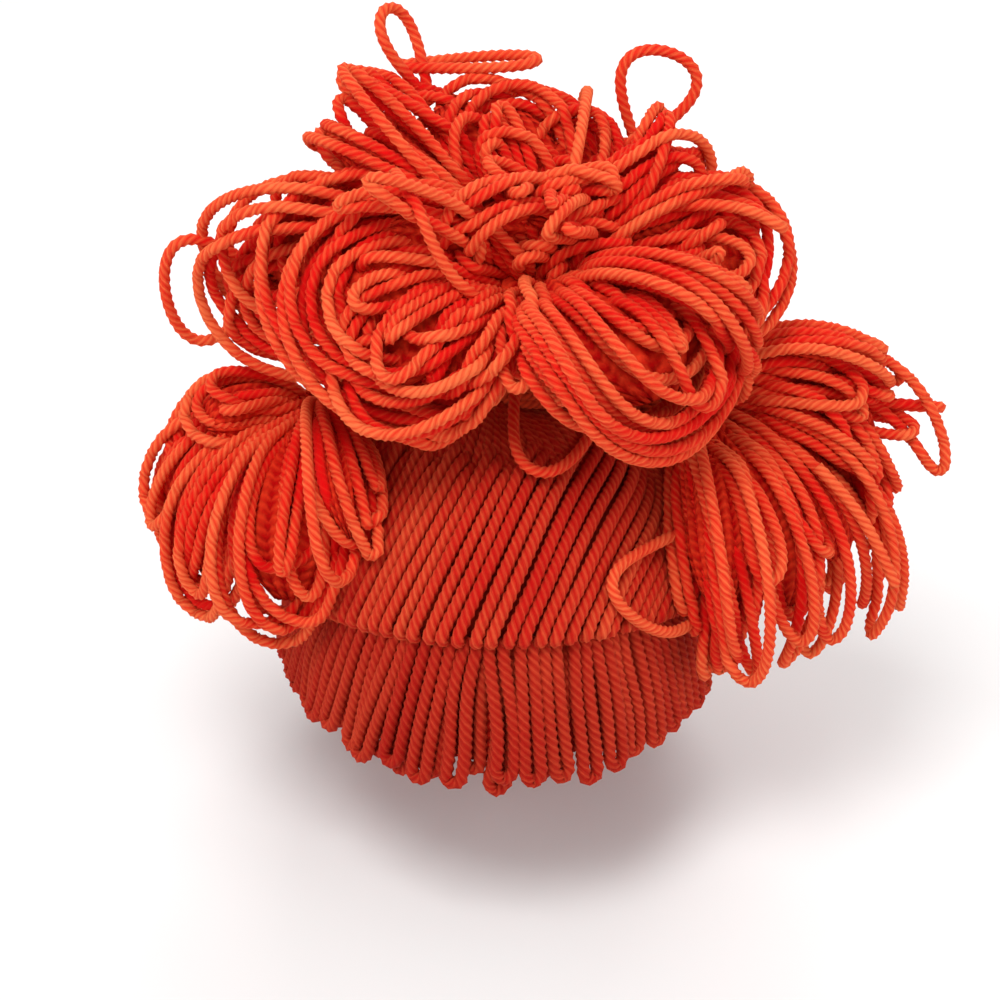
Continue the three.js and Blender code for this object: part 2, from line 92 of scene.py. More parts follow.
class Shade:
    """A shader value. Adding, subtracting or multiplying it adds Math nodes."""

    def __init__(self, finish, socket):
        self.finish, self.socket = finish, socket

    def _math(self, operation, a, b):
        """A Math node that works on a and b."""
        return self.finish.node("ShaderNodeMath", {"operation": operation}, {0: a, 1: b})[0]

    def __add__(self, other):
        return self._math("ADD", self, other)

    def __sub__(self, other):
        return self._math("SUBTRACT", self, other)

    def __rsub__(self, other):
        return self._math("SUBTRACT", other, self)

    def __mul__(self, other):
        return self._math("MULTIPLY", self, other)

    __radd__, __rmul__ = __add__, __mul__


class Finish:
    """A material whose nodes are laid from Python."""

    def __init__(self, name):
        self.material = bpy.data.materials.new(name)
        self.material.use_nodes = True
        self.tree = self.material.node_tree
        self.tree.nodes.clear()

    def node(self, kind, settings, inputs):
        """Adds a node: its settings first, then the values or links of its sockets. Returns its
        outputs."""
        made = self.tree.nodes.new(kind)
        for key, value in settings.items():
            setattr(made, key, value)
        for key, value in inputs.items():
            if isinstance(value, Shade):
                self.tree.links.new(value.socket, made.inputs[key])
            else:
                made.inputs[key].default_value = value
        return [Shade(self, socket) for socket in made.outputs]

    def carried(self, name, output=2):
        """What the mesh carries under a name: a number, or a vector from output 1."""
        return self.node("ShaderNodeAttribute", {"attribute_name": name}, {})[output]

    def place(self):
        """The place on the piece, in metres along its own axes."""
        return self.node("ShaderNodeTexCoord", {}, {})[3]

    def grain(self, place, scale, detail, roughness=0.5):
        """Noise from 0 to 1 whose grains are 1 / scale long, with finer grains in them."""
        inputs = {"Vector": place, "Scale": scale, "Detail": detail, "Roughness": roughness}
        return self.node("ShaderNodeTexNoise", {}, inputs)[0]

    def bump(self, height, strength, distance):
        """A normal that leans as if the surface were raised by height times distance."""
        inputs = {"Strength": strength, "Distance": distance, "Height": height}
        return self.node("ShaderNodeBump", {}, inputs)[0]

    def mix(self, share, a, b):
        """Colour a where share is 0 and b where it is 1."""
        return self.node("ShaderNodeMix", {"data_type": "RGBA"}, {0: share, 6: a, 7: b})[2]

    def surface(self, **inputs):
        """The finished surface: a Principled shader from its sockets, put on the output."""
        named = {key.replace("_", " "): value for key, value in inputs.items()}
        named["Specular IOR Level"] = LOW_GLOSS
        shader = self.node("ShaderNodeBsdfPrincipled", {}, named)[0]
        self.node("ShaderNodeOutputMaterial", {}, {"Surface": shader})
        return self.material


floor_mesh = bpy.data.meshes.new("studio_floor")
square = ((-1, -1), (1, -1), (1, 1), (-1, 1))
corners = [(x * FLOOR_HALF, y * FLOOR_HALF, FLOOR_HEIGHT) for x, y in square]
floor_mesh.from_pydata(corners, [], [(0, 1, 2, 3)])
floor_mesh.materials.append(Finish("studio_floor").surface(Base_Color=FLOOR_GREY, Roughness=0.9))
floor = put_in_scene("studio_floor", floor_mesh)

for number, light in enumerate(LIGHTS):
    lamp = bpy.data.lights.new(f"soft_light_{number}", "AREA")
    lamp.size, lamp.energy = light["size"], light["watts"]
    stand = put_in_scene(lamp.name, lamp)
    stand.location = light["place"]
    aim(stand)
world = bpy.data.worlds.new("studio")
world.use_nodes = True
world.node_tree.nodes["Background"].inputs[0].default_value = SURROUND_WHITE
world.node_tree.nodes["Background"].inputs[1].default_value = SURROUND_STRENGTH
bpy.context.scene.world = world


# The cap: orange yarn crocheted in rounds from the crown to the rim. It fits the head, and
# everything else is knotted to it. Only its inside and its rim show.
HEAD_HALF_WIDTH = 69
HEAD_HALF_LENGTH = 87
CROWN_HEIGHT = 78
FOREHEAD_TAPER = 0.12
NAPE_TUCK = 0.1
CAP_WALL = 3.5
CAP_RIM = (46, 72, 108)
CAP_COLUMNS = 300
CAP_INSIDE_ROWS = 50
CAP_OUTSIDE_ROWS = 12
CROWN_HOLE = 0.004
RIM_ROLL = 0.35
STITCH_WIDTH = 6.5
STITCH_HEIGHT = 8.5
STITCH_RELIEF = 1.1
# The outside has no relief of its own: this level only colours it, as painted shade under the
# strand layer.
OUTSIDE_SHADED_RELIEF = 0.2
ADDED_STITCHES = 6.3
POST_SWAY = 0.14
POST_WIDTH = 0.24
BAR_WIDTH = 0.13
# CROCHET_DEEP is painted shade, laid between the stitches and over the outside; the fibre and patch
# noise also move towards it.
CROCHET_BRIGHT = (0.86, 0.11, 0.03, 1)
CROCHET_DEEP = (0.4, 0.005, 0.003, 1)


def head_point(azimuth, arc, offset):
    """A point outside the head by offset. azimuth is counted from the front towards +X and arc
    down from the crown: x grows with sin(arc) sin(azimuth), y with sin(arc) cos(azimuth), z with
    cos(arc). Past a quarter turn the head goes straight down and draws in a little."""
    below = np.maximum(arc - np.pi / 2, 0)
    round_share = np.where(below > 0, 1 - NAPE_TUCK * below**2, np.sin(arc))
    drop = np.where(below > 0, -below, np.cos(arc))
    across = (HEAD_HALF_WIDTH + offset) * (1 - FOREHEAD_TAPER * np.cos(azimuth))
    x = across * round_share * np.sin(azimuth)
    y = -(HEAD_HALF_LENGTH + offset) * round_share * np.cos(azimuth)
    z = (CROWN_HEIGHT + offset) * drop - CROWN_HEIGHT
    return np.stack(np.broadcast_arrays(x, y, z), -1)


def arc_at_depth(depth):
    """The arc at which the head's surface lies at a depth below the crown."""
    share = depth / CROWN_HEIGHT
    return np.where(share < 1, np.arccos(np.clip(1 - share, -1, 1)), np.pi / 2 + share - 1)


def level_around(azimuth, levels):
    """A level that runs smoothly from front over side to back: a mean, a tilt that goes with
    cos(azimuth), and a dip that goes with cos(2 azimuth)."""
    front, side, back = levels
    ends = (front + back) / 4
    tilt = (front - back) / 2 * np.cos(azimuth)
    return ends + side / 2 + tilt + (ends - side / 2) * np.cos(2 * azimuth)


def rim_depth(azimuth):
    """How far below the crown the cap's rim lies."""
    return level_around(azimuth, CAP_RIM)


def rim_arc(azimuth):
    """The arc of the cap's rim."""
    return arc_at_depth(rim_depth(azimuth))


def stitches(around, down):
    """Relief of crocheted rounds, from 0 to 1. around and down are millimetres. Each stitch is an
    upright post that leans one way and back, under a rounded bar along the top of its round."""
    x = around / STITCH_WIDTH % 1 - 0.5
    y = down / STITCH_HEIGHT % 1
    post = np.exp(-(((x - POST_SWAY * np.sin(2 * np.pi * y)) / POST_WIDTH) ** 2))
    post = post * np.sin(np.pi * y) ** 0.4
    bar = np.exp(-((np.minimum(y, 1 - y) / BAR_WIDTH) ** 2)) * (0.75 + 0.25 * np.cos(4 * np.pi * x))
    return np.maximum(post, bar)


def mesh_piece(name, points, triangles, finish, nodes, attributes=(), bake=None):
    """Makes a smooth mesh object from points in millimetres and triangles, gives it its
    attributes, its flat layout for baking and its finish, and lets it stand for CAD nodes."""
    mesh = bpy.data.meshes.new(name)
    mesh.vertices.add(len(points))
    mesh.vertices.foreach_set("co", (points * MM).astype(np.float32).ravel())
    mesh.loops.add(triangles.size)
    mesh.loops.foreach_set("vertex_index", triangles.astype(np.int32).ravel())
    mesh.polygons.add(len(triangles))
    mesh.polygons.foreach_set("loop_start", np.arange(0, triangles.size, 3, dtype=np.int32))
    mesh.update(calc_edges=True)
    mesh.shade_smooth()
    for key, kind, values in attributes:
        field = "vector" if kind == "FLOAT_VECTOR" else "value"
        made = mesh.attributes.new(key, kind, "POINT")
        made.data.foreach_set(field, values.astype(np.float32).ravel())
    if bake is not None:
        layout = mesh.uv_layers.new(name="OFBake")
        layout.data.foreach_set("uv", bake.astype(np.float32).ravel())
    mesh.materials.append(finish)
    piece = put_in_scene(name, mesh)
    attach(piece, "root")
    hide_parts(*nodes)


def closed_tube(rings):
    """Points and triangles of a tube through rings of points, rows x columns x 3: a quad between
    each two rings and columns, cut in two, and a fan at each end to the mean of its ring."""
    rows, columns = rings.shape[:2]
    row, column = np.divmod(np.arange((rows - 1) * columns), columns)
    a, b = row * columns + column, row * columns + (column + 1) % columns
    walls = np.stack([a, b, b + columns, a, b + columns, a + columns], -1).reshape(-1, 3)
    edge = np.arange(columns)
    ahead = (edge + 1) % columns
    last = (rows - 1) * columns
    first_pole = np.full(columns, rows * columns)
    start = np.stack([first_pole, ahead, edge], -1)
    end = np.stack([first_pole + 1, last + edge, last + ahead], -1)
    points = np.concatenate([rings.reshape(-1, 3), [rings[0].mean(0), rings[-1].mean(0)]])
    return points, np.concatenate([walls, start, end])


def cap_surface():
    """The cap's wall: rings down the outside from the crown to the rim, round the rim and up the
    inside. The inside carries the stitches, and both crowns close on a ring of nearly no size."""
    azimuth = np.arange(CAP_COLUMNS) / CAP_COLUMNS * 2 * np.pi
    outside = np.linspace(CROWN_HOLE, 1, CAP_OUTSIDE_ROWS)
    inside = np.linspace(1, CROWN_HOLE, CAP_INSIDE_ROWS)
    share = np.concatenate([outside, inside])[:, None]
    lift = np.concatenate([np.full(CAP_OUTSIDE_ROWS, 1.0), np.zeros(CAP_INSIDE_ROWS)])[:, None]
    arc = share * rim_arc(azimuth)
    down = arc * (CROWN_HEIGHT + CAP_WALL)
    rounds = np.floor(down / STITCH_HEIGHT) + 1
    around = azimuth / (2 * np.pi) * np.round(rounds * ADDED_STITCHES) * STITCH_WIDTH
    relief = stitches(around, down) * STITCH_RELIEF
    offset = np.where(lift > 0, CAP_WALL, STITCH_RELIEF - relief)
    rolled = np.where(share > 0.999, RIM_ROLL, 0) * (1 - 2 * lift)
    points = head_point(azimuth, arc, offset + rolled)
    # The second result colours the cap: the stitches' relief paints shade between them, and the
    # outside gets painted shade.
    return points, np.where(lift > 0, OUTSIDE_SHADED_RELIEF, relief / STITCH_RELIEF)


def crochet_finish():
    """Crochet yarn: deep red between the stitches and over the outside, which is painted shade,
    with fine fibres and lighter patches.
    """
    finish = Finish("crochet_yarn")
    relief, place = finish.carried("relief"), finish.place()
    fibres, patch = finish.grain(place, 900, 3), finish.grain(place, 45, 2)
    light = relief * 0.75 + fibres * 0.35 + patch * 0.25 - 0.25
    color = finish.mix(light, CROCHET_DEEP, CROCHET_BRIGHT)
    bump = finish.bump(fibres, 0.5, 0.0006)
    return finish.surface(Base_Color=color, Roughness=0.9, Normal=bump)


cap_rings, cap_relief = cap_surface()
cap_points, cap_faces = closed_tube(cap_rings)
mesh_piece(
    "crochet_cap_stitches",
    cap_points,
    cap_faces[:, ::-1],
    crochet_finish(),
    ["crochet_cap"],
    [("relief", "FLOAT", np.append(cap_relief, [1, 1]))],
)


# The strand layer: lengths of four-ply yarn laid side by side over the cap from the crown, each
# one turned under at the rim. In front they run down and to the left, over a few straight ones.
chance = np.random.default_rng(41)
YARN_RADIUS = 2.1
PLY_VALLEY = 0.76
PLIES = 4
YARN_SIDES = 2 * PLIES
NODE_STEP = 4.5
RINGS_PER_NODE = 3
ANY_SLANT = (0.31, 0.17, 0.93)
FIBRE_STRETCH = 0.12
STRAND_APART = 37.0
BAKE_WALLS = 0.96
BAKE_LIDS = (0.97, 0.97, 0.995)
STRAND_LAYER = 7
LAYER_INNER = 3.85
LAYER_SHARES = (0, 0.5, 0.85, 1)
LAYER_THICK = (0.7, 0.95, 1.25, 1.15)
COVER_STRANDS = 104
COVER_STARTS = (0.06, 0.38, 0.24, 0.38, 0.14, 0.38, 0.24, 0.38)
FRONT_START = 0.27
FRONT_AZIMUTH = 1.25
FRONT_SHIFT = 43
FRONT_EASE = (0.75, 0.22)
UNDER_STRANDS = 26
UNDER_SHARE = 0.46
UNDER_DROP = 1.2
START_SINK = 3.4
COVER_YARN = 2.3
ROLL_RADIUS = 2.6
ROLL_TURN = math.radians(125)
# The bunches' copy of the yarn: BRIGHT_ORANGE is made the lightest, painted light for the top of
# the wig, and DEEP_ORANGE is the painted shade between the plies and in buried yarn, which the
# fibre noise also reaches.
BRIGHT_ORANGE = (0.98, 0.18, 0.058, 1)
DEEP_ORANGE = (0.8, 0.003, 0.004, 1)
# The cover's copy of the yarn is darker than the bunches': painted shade under them.
COVER_SHADED_BRIGHT = (0.82, 0.12, 0.04, 1)
COVER_SHADED_DEEP = (0.56, 0.003, 0.004, 1)


def even_steps(path, step=NODE_STEP):
    """A path through the same line with nodes a step apart: its length is measured along its
    points, and each column is read at even shares of it. A fourth column, 0 unless the path has
    one, goes along with the place of each node."""
    length = np.append(0, np.cumsum(np.linalg.norm(np.diff(path[:, :3], axis=0), axis=1)))
    count = max(int(round(length[-1] / step)), 4) + 1
    wanted = np.linspace(0, length[-1], count)
    found = [np.interp(wanted, length, path[:, axis]) for axis in range(path.shape[1])]
    return np.stack(found + [np.zeros(count)] * (4 - len(found)), -1)


def unit(vectors):
    """Vectors made one long."""
    return vectors / np.maximum(np.linalg.norm(vectors, axis=-1, keepdims=True), 1e-9)


def ease(share):
    """A share kept between 0 and 1 and made smooth at both ends: 3 s^2 - 2 s^3."""
    share = np.clip(share, 0, 1)
    return share * share * (3 - 2 * share)


def swayed(share, size, slow, fast):
    """A chance sway along a strand: a normal draw times the sine of share times a speed between
    slow and fast, plus a chance start."""
    most = chance.normal(0, size)
    return most * np.sin(share * chance.uniform(slow, fast) + chance.uniform(0, 6))


def smooth_rings(strands):
    """Middles of the rings of all strands, the fourth column at each, and each strand's first and
    last ring. Between nodes b and c, with a before and d after, the curve is half of
    2b + (c-a)t + (2a-5b+4c-d)t^2 + (3b-a-3c+d)t^3, read three times to a step."""
    nodes = np.concatenate(strands)
    counts = np.array([len(strand) for strand in strands])
    starts = np.cumsum(counts) - counts
    ends = starts + counts - 1
    segment = np.setdiff1d(np.arange(len(nodes)), ends)
    before = np.where(np.isin(segment, starts), segment, segment - 1)
    after = np.where(np.isin(segment + 1, ends), segment + 1, segment + 2)
    a, b, c, d = (nodes[i][:, None, :3] for i in (before, segment, segment + 1, after))
    t = (np.arange(RINGS_PER_NODE) / RINGS_PER_NODE)[None, :, None]
    square, cube = (2 * a - 5 * b + 4 * c - d) * t**2, (3 * b - a - 3 * c + d) * t**3
    curve = 0.5 * (2 * b + (c - a) * t + square + cube)
    ring_counts = (counts - 1) * RINGS_PER_NODE + 1
    first = np.cumsum(ring_counts) - ring_counts
    last = first + ring_counts - 1
    rings = np.arange(ring_counts.sum())
    centre = np.zeros((len(rings), 3))
    centre[np.setdiff1d(rings, last)], centre[last] = curve.reshape(-1, 3), nodes[ends, :3]
    node_at = np.arange(len(nodes)) - starts.repeat(counts)
    along = np.interp(rings, first.repeat(counts) + node_at * RINGS_PER_NODE, nodes[:, 3])
    return centre, along, first, last


def straight_across(tangent, first, last):
    """A direction across each strand, carried from ring to ring without turning round it: the
    one before less its part along the strand, made one long."""
    across = np.zeros_like(tangent)
    across[first] = unit(np.cross(tangent[first], ANY_SLANT))
    for step in range(1, int((last - first).max()) + 1):
        ring = first[last - first >= step] + step
        before = across[ring - 1]
        across[ring] = unit(before - tangent[ring] * (before * tangent[ring]).sum(1, keepdims=True))
    return across


def lids(rings, order):
    """Triangles that close strands at some of their rings: fans from each ring's first point."""
    base = rings[:, None] * YARN_SIDES
    fan = np.arange(1, YARN_SIDES - 1)
    return np.stack([base + 0 * fan, base + fan, base + fan + 1], -1)[..., order].reshape(-1, 3)


def strip_layout(rows, columns, cell):
    """Flat places of the corners of a strip of rows x columns quads, cut into two triangles each
    and folded into the unit square: the strip is cut every so many rows, and its cuts lie side
    by side with one empty column between them. cell is a quad's width over its height."""
    tall = int(np.ceil(np.sqrt(rows * (columns + 1) * cell)))
    count = -(-rows // tall)
    row, column = np.divmod(np.arange(rows * columns), columns)
    left = (row // tall) * (columns + 1) + column
    corner = np.array([(0, 0), (1, 0), (0, 1), (1, 0), (1, 1), (0, 1)])
    place = np.stack([left, row % tall], -1)[:, None, :] + corner
    return place / np.array([count * (columns + 1), tall])


def spin_yarn(strands, radius):
    """Points, triangles, attributes and bake layout of plied yarn along each strand's nodes. Each
    ring has an outer point for each ply and an inner one between, and from ring to ring outer
    and inner points change places, so that the ridges wind round the strand."""
    centre, buried, first, last = smooth_rings(strands)
    rings = np.arange(len(centre))
    ahead, behind = np.minimum(rings + 1, rings[-1]), np.maximum(rings - 1, 0)
    ahead[last], behind[first] = last, first
    tangent = unit(centre[ahead] - centre[behind])
    across = straight_across(tangent, first, last)
    up = np.cross(tangent, across)
    strand_of = np.repeat(np.arange(len(first)), last - first + 1)
    step_of = rings - first[strand_of]
    side = np.arange(YARN_SIDES)
    angle = side / YARN_SIDES * 2 * np.pi
    valley = (step_of[:, None] + side) % 2
    reach = np.where(valley, PLY_VALLEY * radius, radius)[..., None]
    round_it = np.cos(angle)[:, None] * across[:, None, :] + np.sin(angle)[:, None] * up[:, None, :]
    points = (centre[:, None, :] + reach * round_it).reshape(-1, 3)

    inner = np.setdiff1d(rings, last)[:, None] * YARN_SIDES
    near, beside = inner + side, inner + (side + 1) % YARN_SIDES
    far, far_beside = near + YARN_SIDES, beside + YARN_SIDES
    walls = np.stack([near, beside, far, beside, far_beside, far], -1).reshape(-1, 3)
    ends = np.concatenate([lids(first, [0, 2, 1]), lids(last, [0, 1, 2])])

    wound = angle[None, :] + step_of[:, None] * (2 * np.pi / YARN_SIDES)
    along = step_of * NODE_STEP / RINGS_PER_NODE + strand_of * STRAND_APART
    along = along[:, None] * FIBRE_STRETCH + 0 * wound
    fibre = np.stack([np.cos(wound) * radius, np.sin(wound) * radius, along], -1)
    tone = chance.normal(0, 1, len(first))[strand_of]
    # The finish also reads valley and buried, and paints shade with them.
    attributes = [
        ("valley", "FLOAT", valley),
        ("tone", "FLOAT", tone[:, None] + 0 * wound),
        ("buried", "FLOAT", buried[:, None] + 0 * wound),
        ("fibre", "FLOAT_VECTOR", fibre),
    ]
    strips = strip_layout(len(inner), YARN_SIDES, 0.8).reshape(-1, 2) * (1, BAKE_WALLS)
    lid_across = (np.arange(len(ends))[:, None] + (0, 0.8, 0.4)) / len(ends)
    lid_up = np.broadcast_to(BAKE_LIDS, lid_across.shape)
    bake = np.concatenate([strips, np.stack([lid_across, lid_up], -1).reshape(-1, 2)])
    return points, np.concatenate([walls, ends]), attributes, bake


def yarn_piece(name, strands, finish, node, radius=YARN_RADIUS):
    """A piece made of plied yarn."""
    points, triangles, attributes, bake = spin_yarn(strands, radius)
    mesh_piece(name, points, triangles, finish, [node], attributes, bake)


def yarn_finish(name, bright, deep, shade=0.0):
    """Plied yarn: bright on its ridges and deep between the plies, as painted shade, and redder
    where it lies under other strands, also painted shade. Each strand is a little lighter or darker
    than its neighbours, with fine fibres that wind along the plies and a soft sheen. shade is
    painted shade that makes the whole yarn deeper."""
    finish = Finish(name)
    valley, tone, buried = (finish.carried(word) for word in ("valley", "tone", "buried"))
    fibres = finish.grain(finish.carried("fibre", 1), 2.2, 4, 0.7)
    patch = finish.grain(finish.place(), 28, 2)
    # Painted shade: shade, the ply valleys and the buried share take light away. tone and the two
    # noises are the yarn's own variation.
    light = 1.02 - shade - valley * 0.52 - buried * 0.68 + tone * 0.07
    light = light + (fibres - 0.5) * 0.95 + (patch - 0.5) * 0.5
    light = finish.node("ShaderNodeClamp", {}, {"Value": light})[0]
    return finish.surface(
        Base_Color=finish.mix(light * light, deep, bright),
        Roughness=0.85,
        Normal=finish.bump(fibres, 0.8, 0.0006),
        Sheen_Weight=0.12,
        Sheen_Tint=(1, 0.25, 0.1, 1),
    )


def signed_turn(azimuth):
    """The same azimuth between minus and plus half a turn."""
    return np.arctan2(np.sin(azimuth), np.cos(azimuth))


def even_azimuths(start, end, level, count):
    """Azimuths of points that stand equally far apart along a level line round the head: the
    line's length is summed over small steps and read at even shares, half a pitch from its ends."""
    azimuth = np.linspace(start, end, 721)
    signed = signed_turn(azimuth)
    line = head_point(signed, arc_at_depth(level(signed)), CAP_WALL)
    length = np.append(0, np.cumsum(np.linalg.norm(np.diff(line, axis=0), axis=1)))
    return signed_turn(np.interp((np.arange(count) + 0.5) / count * length[-1], length, azimuth))


def layer_face(share):
    """How far from the head the middle of a laid strand is, at a share of the way to the rim."""
    thick = STRAND_LAYER * np.interp(share, LAYER_SHARES, LAYER_THICK)
    return LAYER_INNER + thick - YARN_RADIUS


def front_slant(rim_azimuth, share, arc):
    """Azimuths of a strand laid over the front: its distance from the middle plane grows evenly
    up the head, so that the strands stay side by side. Near the side of the head that distance
    runs out, and its share of the half width eases towards one."""
    across = (HEAD_HALF_WIDTH + 8) * (1 - FOREHEAD_TAPER)
    distance = across * math.sin(arc[-1]) * math.sin(rim_azimuth) + FRONT_SHIFT * (1 - share)
    reached = distance / (across * np.sin(arc))
    begin, room = FRONT_EASE
    beyond = np.maximum(np.abs(reached) - begin, 0)
    eased = np.minimum(np.abs(reached), begin) + room * np.tanh(beyond / room)
    return np.arcsin(np.sign(reached) * eased)


def under_strands():
    """Paths of the short straight strands that fill the cover's front up to the knot, under the
    slanting ones. Each dips below them where they begin."""
    paths = []
    for azimuth in even_azimuths(-FRONT_AZIMUTH, FRONT_AZIMUTH, rim_depth, UNDER_STRANDS):
        share = np.linspace(0.05 + 0.04 * chance.random(), UNDER_SHARE, 24)
        sway = swayed(share, 0.03, 6, 12)
        dip = START_SINK * np.clip(share / UNDER_SHARE * 3 - 2, 0, 1)
        offset = layer_face(share) - UNDER_DROP - dip
        paths.append(head_point(azimuth + sway, share * float(rim_arc(azimuth)), offset))
    return paths


def cover_strands():
    """Paths of the laid strands. Down the head a strand keeps to the layer's outer face, and at
    the rim it goes round a small circle and back under. In front the strands slant. Elsewhere
    they run straight down, and between two that have parted a further one comes up from below."""
    paths = under_strands()
    scale = CROWN_HEIGHT + 8
    rolled = (ROLL_RADIUS + YARN_RADIUS) / scale
    for number, foot in enumerate(even_azimuths(-np.pi, np.pi, rim_depth, COVER_STRANDS)):
        foot += chance.normal(0, 0.004)
        front = abs(foot) < FRONT_AZIMUTH
        begin = COVER_STARTS[number % len(COVER_STARTS)]
        if front:
            begin = FRONT_START + 0.05 * (number % 3)
        share = np.linspace(begin, 1, 60)
        edge = float(rim_arc(foot)) - rolled
        azimuth = front_slant(foot, share, share * edge) if front else foot + 0 * share
        sway = swayed(share, 0.006, 4, 9)
        arc = share * (rim_arc(azimuth) - rolled)
        offset = layer_face(share) + chance.normal(0, 0.4)
        offset = offset - (1 - ease((share - begin) / 0.12)) * START_SINK
        roll = np.linspace(0.15, 1, 8) * ROLL_TURN
        roll_arc = arc[-1] + ROLL_RADIUS * np.sin(roll) / scale
        roll_offset = offset[-1] - ROLL_RADIUS * (1 - np.cos(roll))
        laid_down = head_point(azimuth + sway, arc, offset)
        turned_under = head_point(azimuth[-1] + sway[-1], roll_arc, roll_offset)
        paths.append(np.concatenate([laid_down, turned_under]))
    return [even_steps(path) for path in paths]


# A shade of 0.24 makes the cover's yarn deeper still: painted shade.
cover_finish = yarn_finish("cover_yarn", COVER_SHADED_BRIGHT, COVER_SHADED_DEEP, 0.24)
yarn_piece("strand_cover_yarn", cover_strands(), cover_finish, "strand_cover", COVER_YARN)


# The fringes: two rows of short yarn loops knotted under the rim, the row behind filling the gaps
# of the row in front, and a ribbed band behind both that stands for the loops nobody sees, coloured
# dark as painted shade. The nape's loops are longer, and both hems are scalloped by the loops.
FRINGE_THICK = 7.5
FRINGE_STANDOFF = 1
FRINGE_FLARE = 3.5
FRINGE_HEM = (89, 99, 138)
TEMPLE_DEPTH = 93
TEMPLE_AZIMUTH = math.radians(45)
TEMPLE_SPREAD = math.radians(22)
FRINGE_SWEEP = math.radians(100)
SEAM = math.radians(0.6)
FRINGES = [
    ("front_fringe", -FRINGE_SWEEP, FRINGE_SWEEP, 31),
    ("nape_fringe", FRINGE_SWEEP + SEAM, 2 * np.pi - FRINGE_SWEEP - SEAM, 20),
]
LOOP_HALF = 2.6
FRINGE_TUCK = 3.5
TUCK_UNDER = 1.8
ROW_BEHIND = 3.6
OUTWARD_LEAN = 3.5
LEFT_LEAN = 9.0
FRINGE_YARN = 2.4
BACKING_SHARE = 0.84
BACKING_RIB = 2.6
BACKING_BEHIND = 5.2
RIB_HEIGHT = 1.2
PLY_MARK = 3
PLY_SLANT = 0.7
# The fringe's copy of the yarn is darker than the bunches': painted shade.
FRINGE_SHADED_BRIGHT = (0.66, 0.066, 0.024, 1)
FRINGE_SHADED_DEEP = (0.4, 0.003, 0.003, 1)
# The band is darker still: a dark sheet of painted shade behind the loops.
BACKING_SHADED_BRIGHT = (0.5, 0.016, 0.006, 1)
BACKING_SHADED_DEEP = (0.26, 0.002, 0.002, 1)


def hem_depth(azimuth):
    """How far below the crown the fringe's hem lies: a smooth level that is pulled to a depth of
    its own round each temple."""
    plain = level_around(azimuth, FRINGE_HEM)
    rise = level_around(TEMPLE_AZIMUTH, FRINGE_HEM) - TEMPLE_DEPTH
    near = np.exp(-(((np.abs(azimuth) - TEMPLE_AZIMUTH) / TEMPLE_SPREAD) ** 2))
    return plain - rise * near


def fringe_face(down, inward):
    """How far from the head a strand of the fringe is: it flares with the square of how far down
    it is, from 0 to 1, and is tucked in under the rim. Rows behind lie inward of it."""
    offset = FRINGE_STANDOFF + FRINGE_FLARE * down**2 + FRINGE_THICK - FRINGE_YARN - inward
    return offset - TUCK_UNDER * (1 - down) ** 2


def fringe_loops(start, end, loops, inward):
    """Paths of a row of hanging loops: down one leg, round a half circle at the hem and up the
    other leg. Each loop leans and sways by its own small chance amounts, more towards the hem."""
    paths = []
    for signed in even_azimuths(start, end, hem_depth, loops):
        signed += chance.normal(0, 0.006)
        top = float(arc_at_depth(rim_depth(signed) - FRINGE_TUCK))
        hem = float(arc_at_depth(hem_depth(signed) + chance.normal(-0.8, 1.7)))
        a_bit_on = head_point(signed + 0.01, hem, 8) - head_point(signed, hem, 8)
        scale = np.linalg.norm(a_bit_on) / 0.01
        half = LOOP_HALF * chance.uniform(0.92, 1.12)
        drop = (hem - top) * (CROWN_HEIGHT + 8)
        leg = np.linspace(0, 1, 24)
        bend = np.linspace(0, np.pi, 14)[1:-1]
        down = np.concatenate([leg, 1 + half * np.sin(bend) / drop, leg[::-1]])
        down = down / (1 + (half + FRINGE_YARN) / drop)
        sides = np.concatenate([np.full(24, -1.0), -np.cos(bend), np.full(24, 1.0)])
        lean = chance.normal(0, 1.6) + OUTWARD_LEAN * math.sin(signed)
        if -np.pi / 2 < signed < 0:
            lean += LEFT_LEAN * math.sin(2 * signed)
        sway = swayed(down, 1.1, 2, 6)
        offset = fringe_face(down, inward) + chance.normal(0, 0.45) * down
        azimuth = signed + (half * sides * (0.9 + 0.1 * down) + lean * down + sway) / scale
        paths.append(head_point(azimuth, top + down * (hem - top), offset))
    return [even_steps(path) for path in paths]


def fringe_tier(start, end, loops):
    """The row in front and, a quarter of a pitch further round, the row behind it, so that its
    legs stand behind the gaps between the legs in front."""
    quarter = (end - start) / loops / 4
    behind = fringe_loops(start + quarter, end - 3 * quarter, loops - 1, ROW_BEHIND)
    return fringe_loops(start, end, loops, 0) + behind


def fringe_backing(start, end):
    """Rings of the band behind the loops, how far each point lies on a rib, and how far down it
    is: at each azimuth the outer face goes down, the inner face comes back up 2 mm behind it, and
    the lower edge follows the hem. The ribs are the size of a sine over a rib's width."""
    azimuth = np.linspace(start, end, int((end - start) * 70))[:, None]
    down = np.array([0, 0.3, 0.6, 0.9, 1, 1, 0.9, 0.6, 0.3, 0])[None, :] * BACKING_SHARE
    inside = np.array([0, 0, 0, 0, 0.5, 1.5, 2, 2, 2, 2])[None, :]
    signed = signed_turn(azimuth)
    top = arc_at_depth(rim_depth(signed) - FRINGE_TUCK)
    fall = down * (arc_at_depth(hem_depth(signed)) - top)
    ridge = np.abs(np.sin(azimuth * (HEAD_HALF_WIDTH + HEAD_HALF_LENGTH) / 2 / BACKING_RIB))
    offset = fringe_face(down, BACKING_BEHIND) + ridge * RIB_HEIGHT - inside
    return head_point(signed + 0 * down, top + fall, offset), ridge + 0 * down, fall * CROWN_HEIGHT


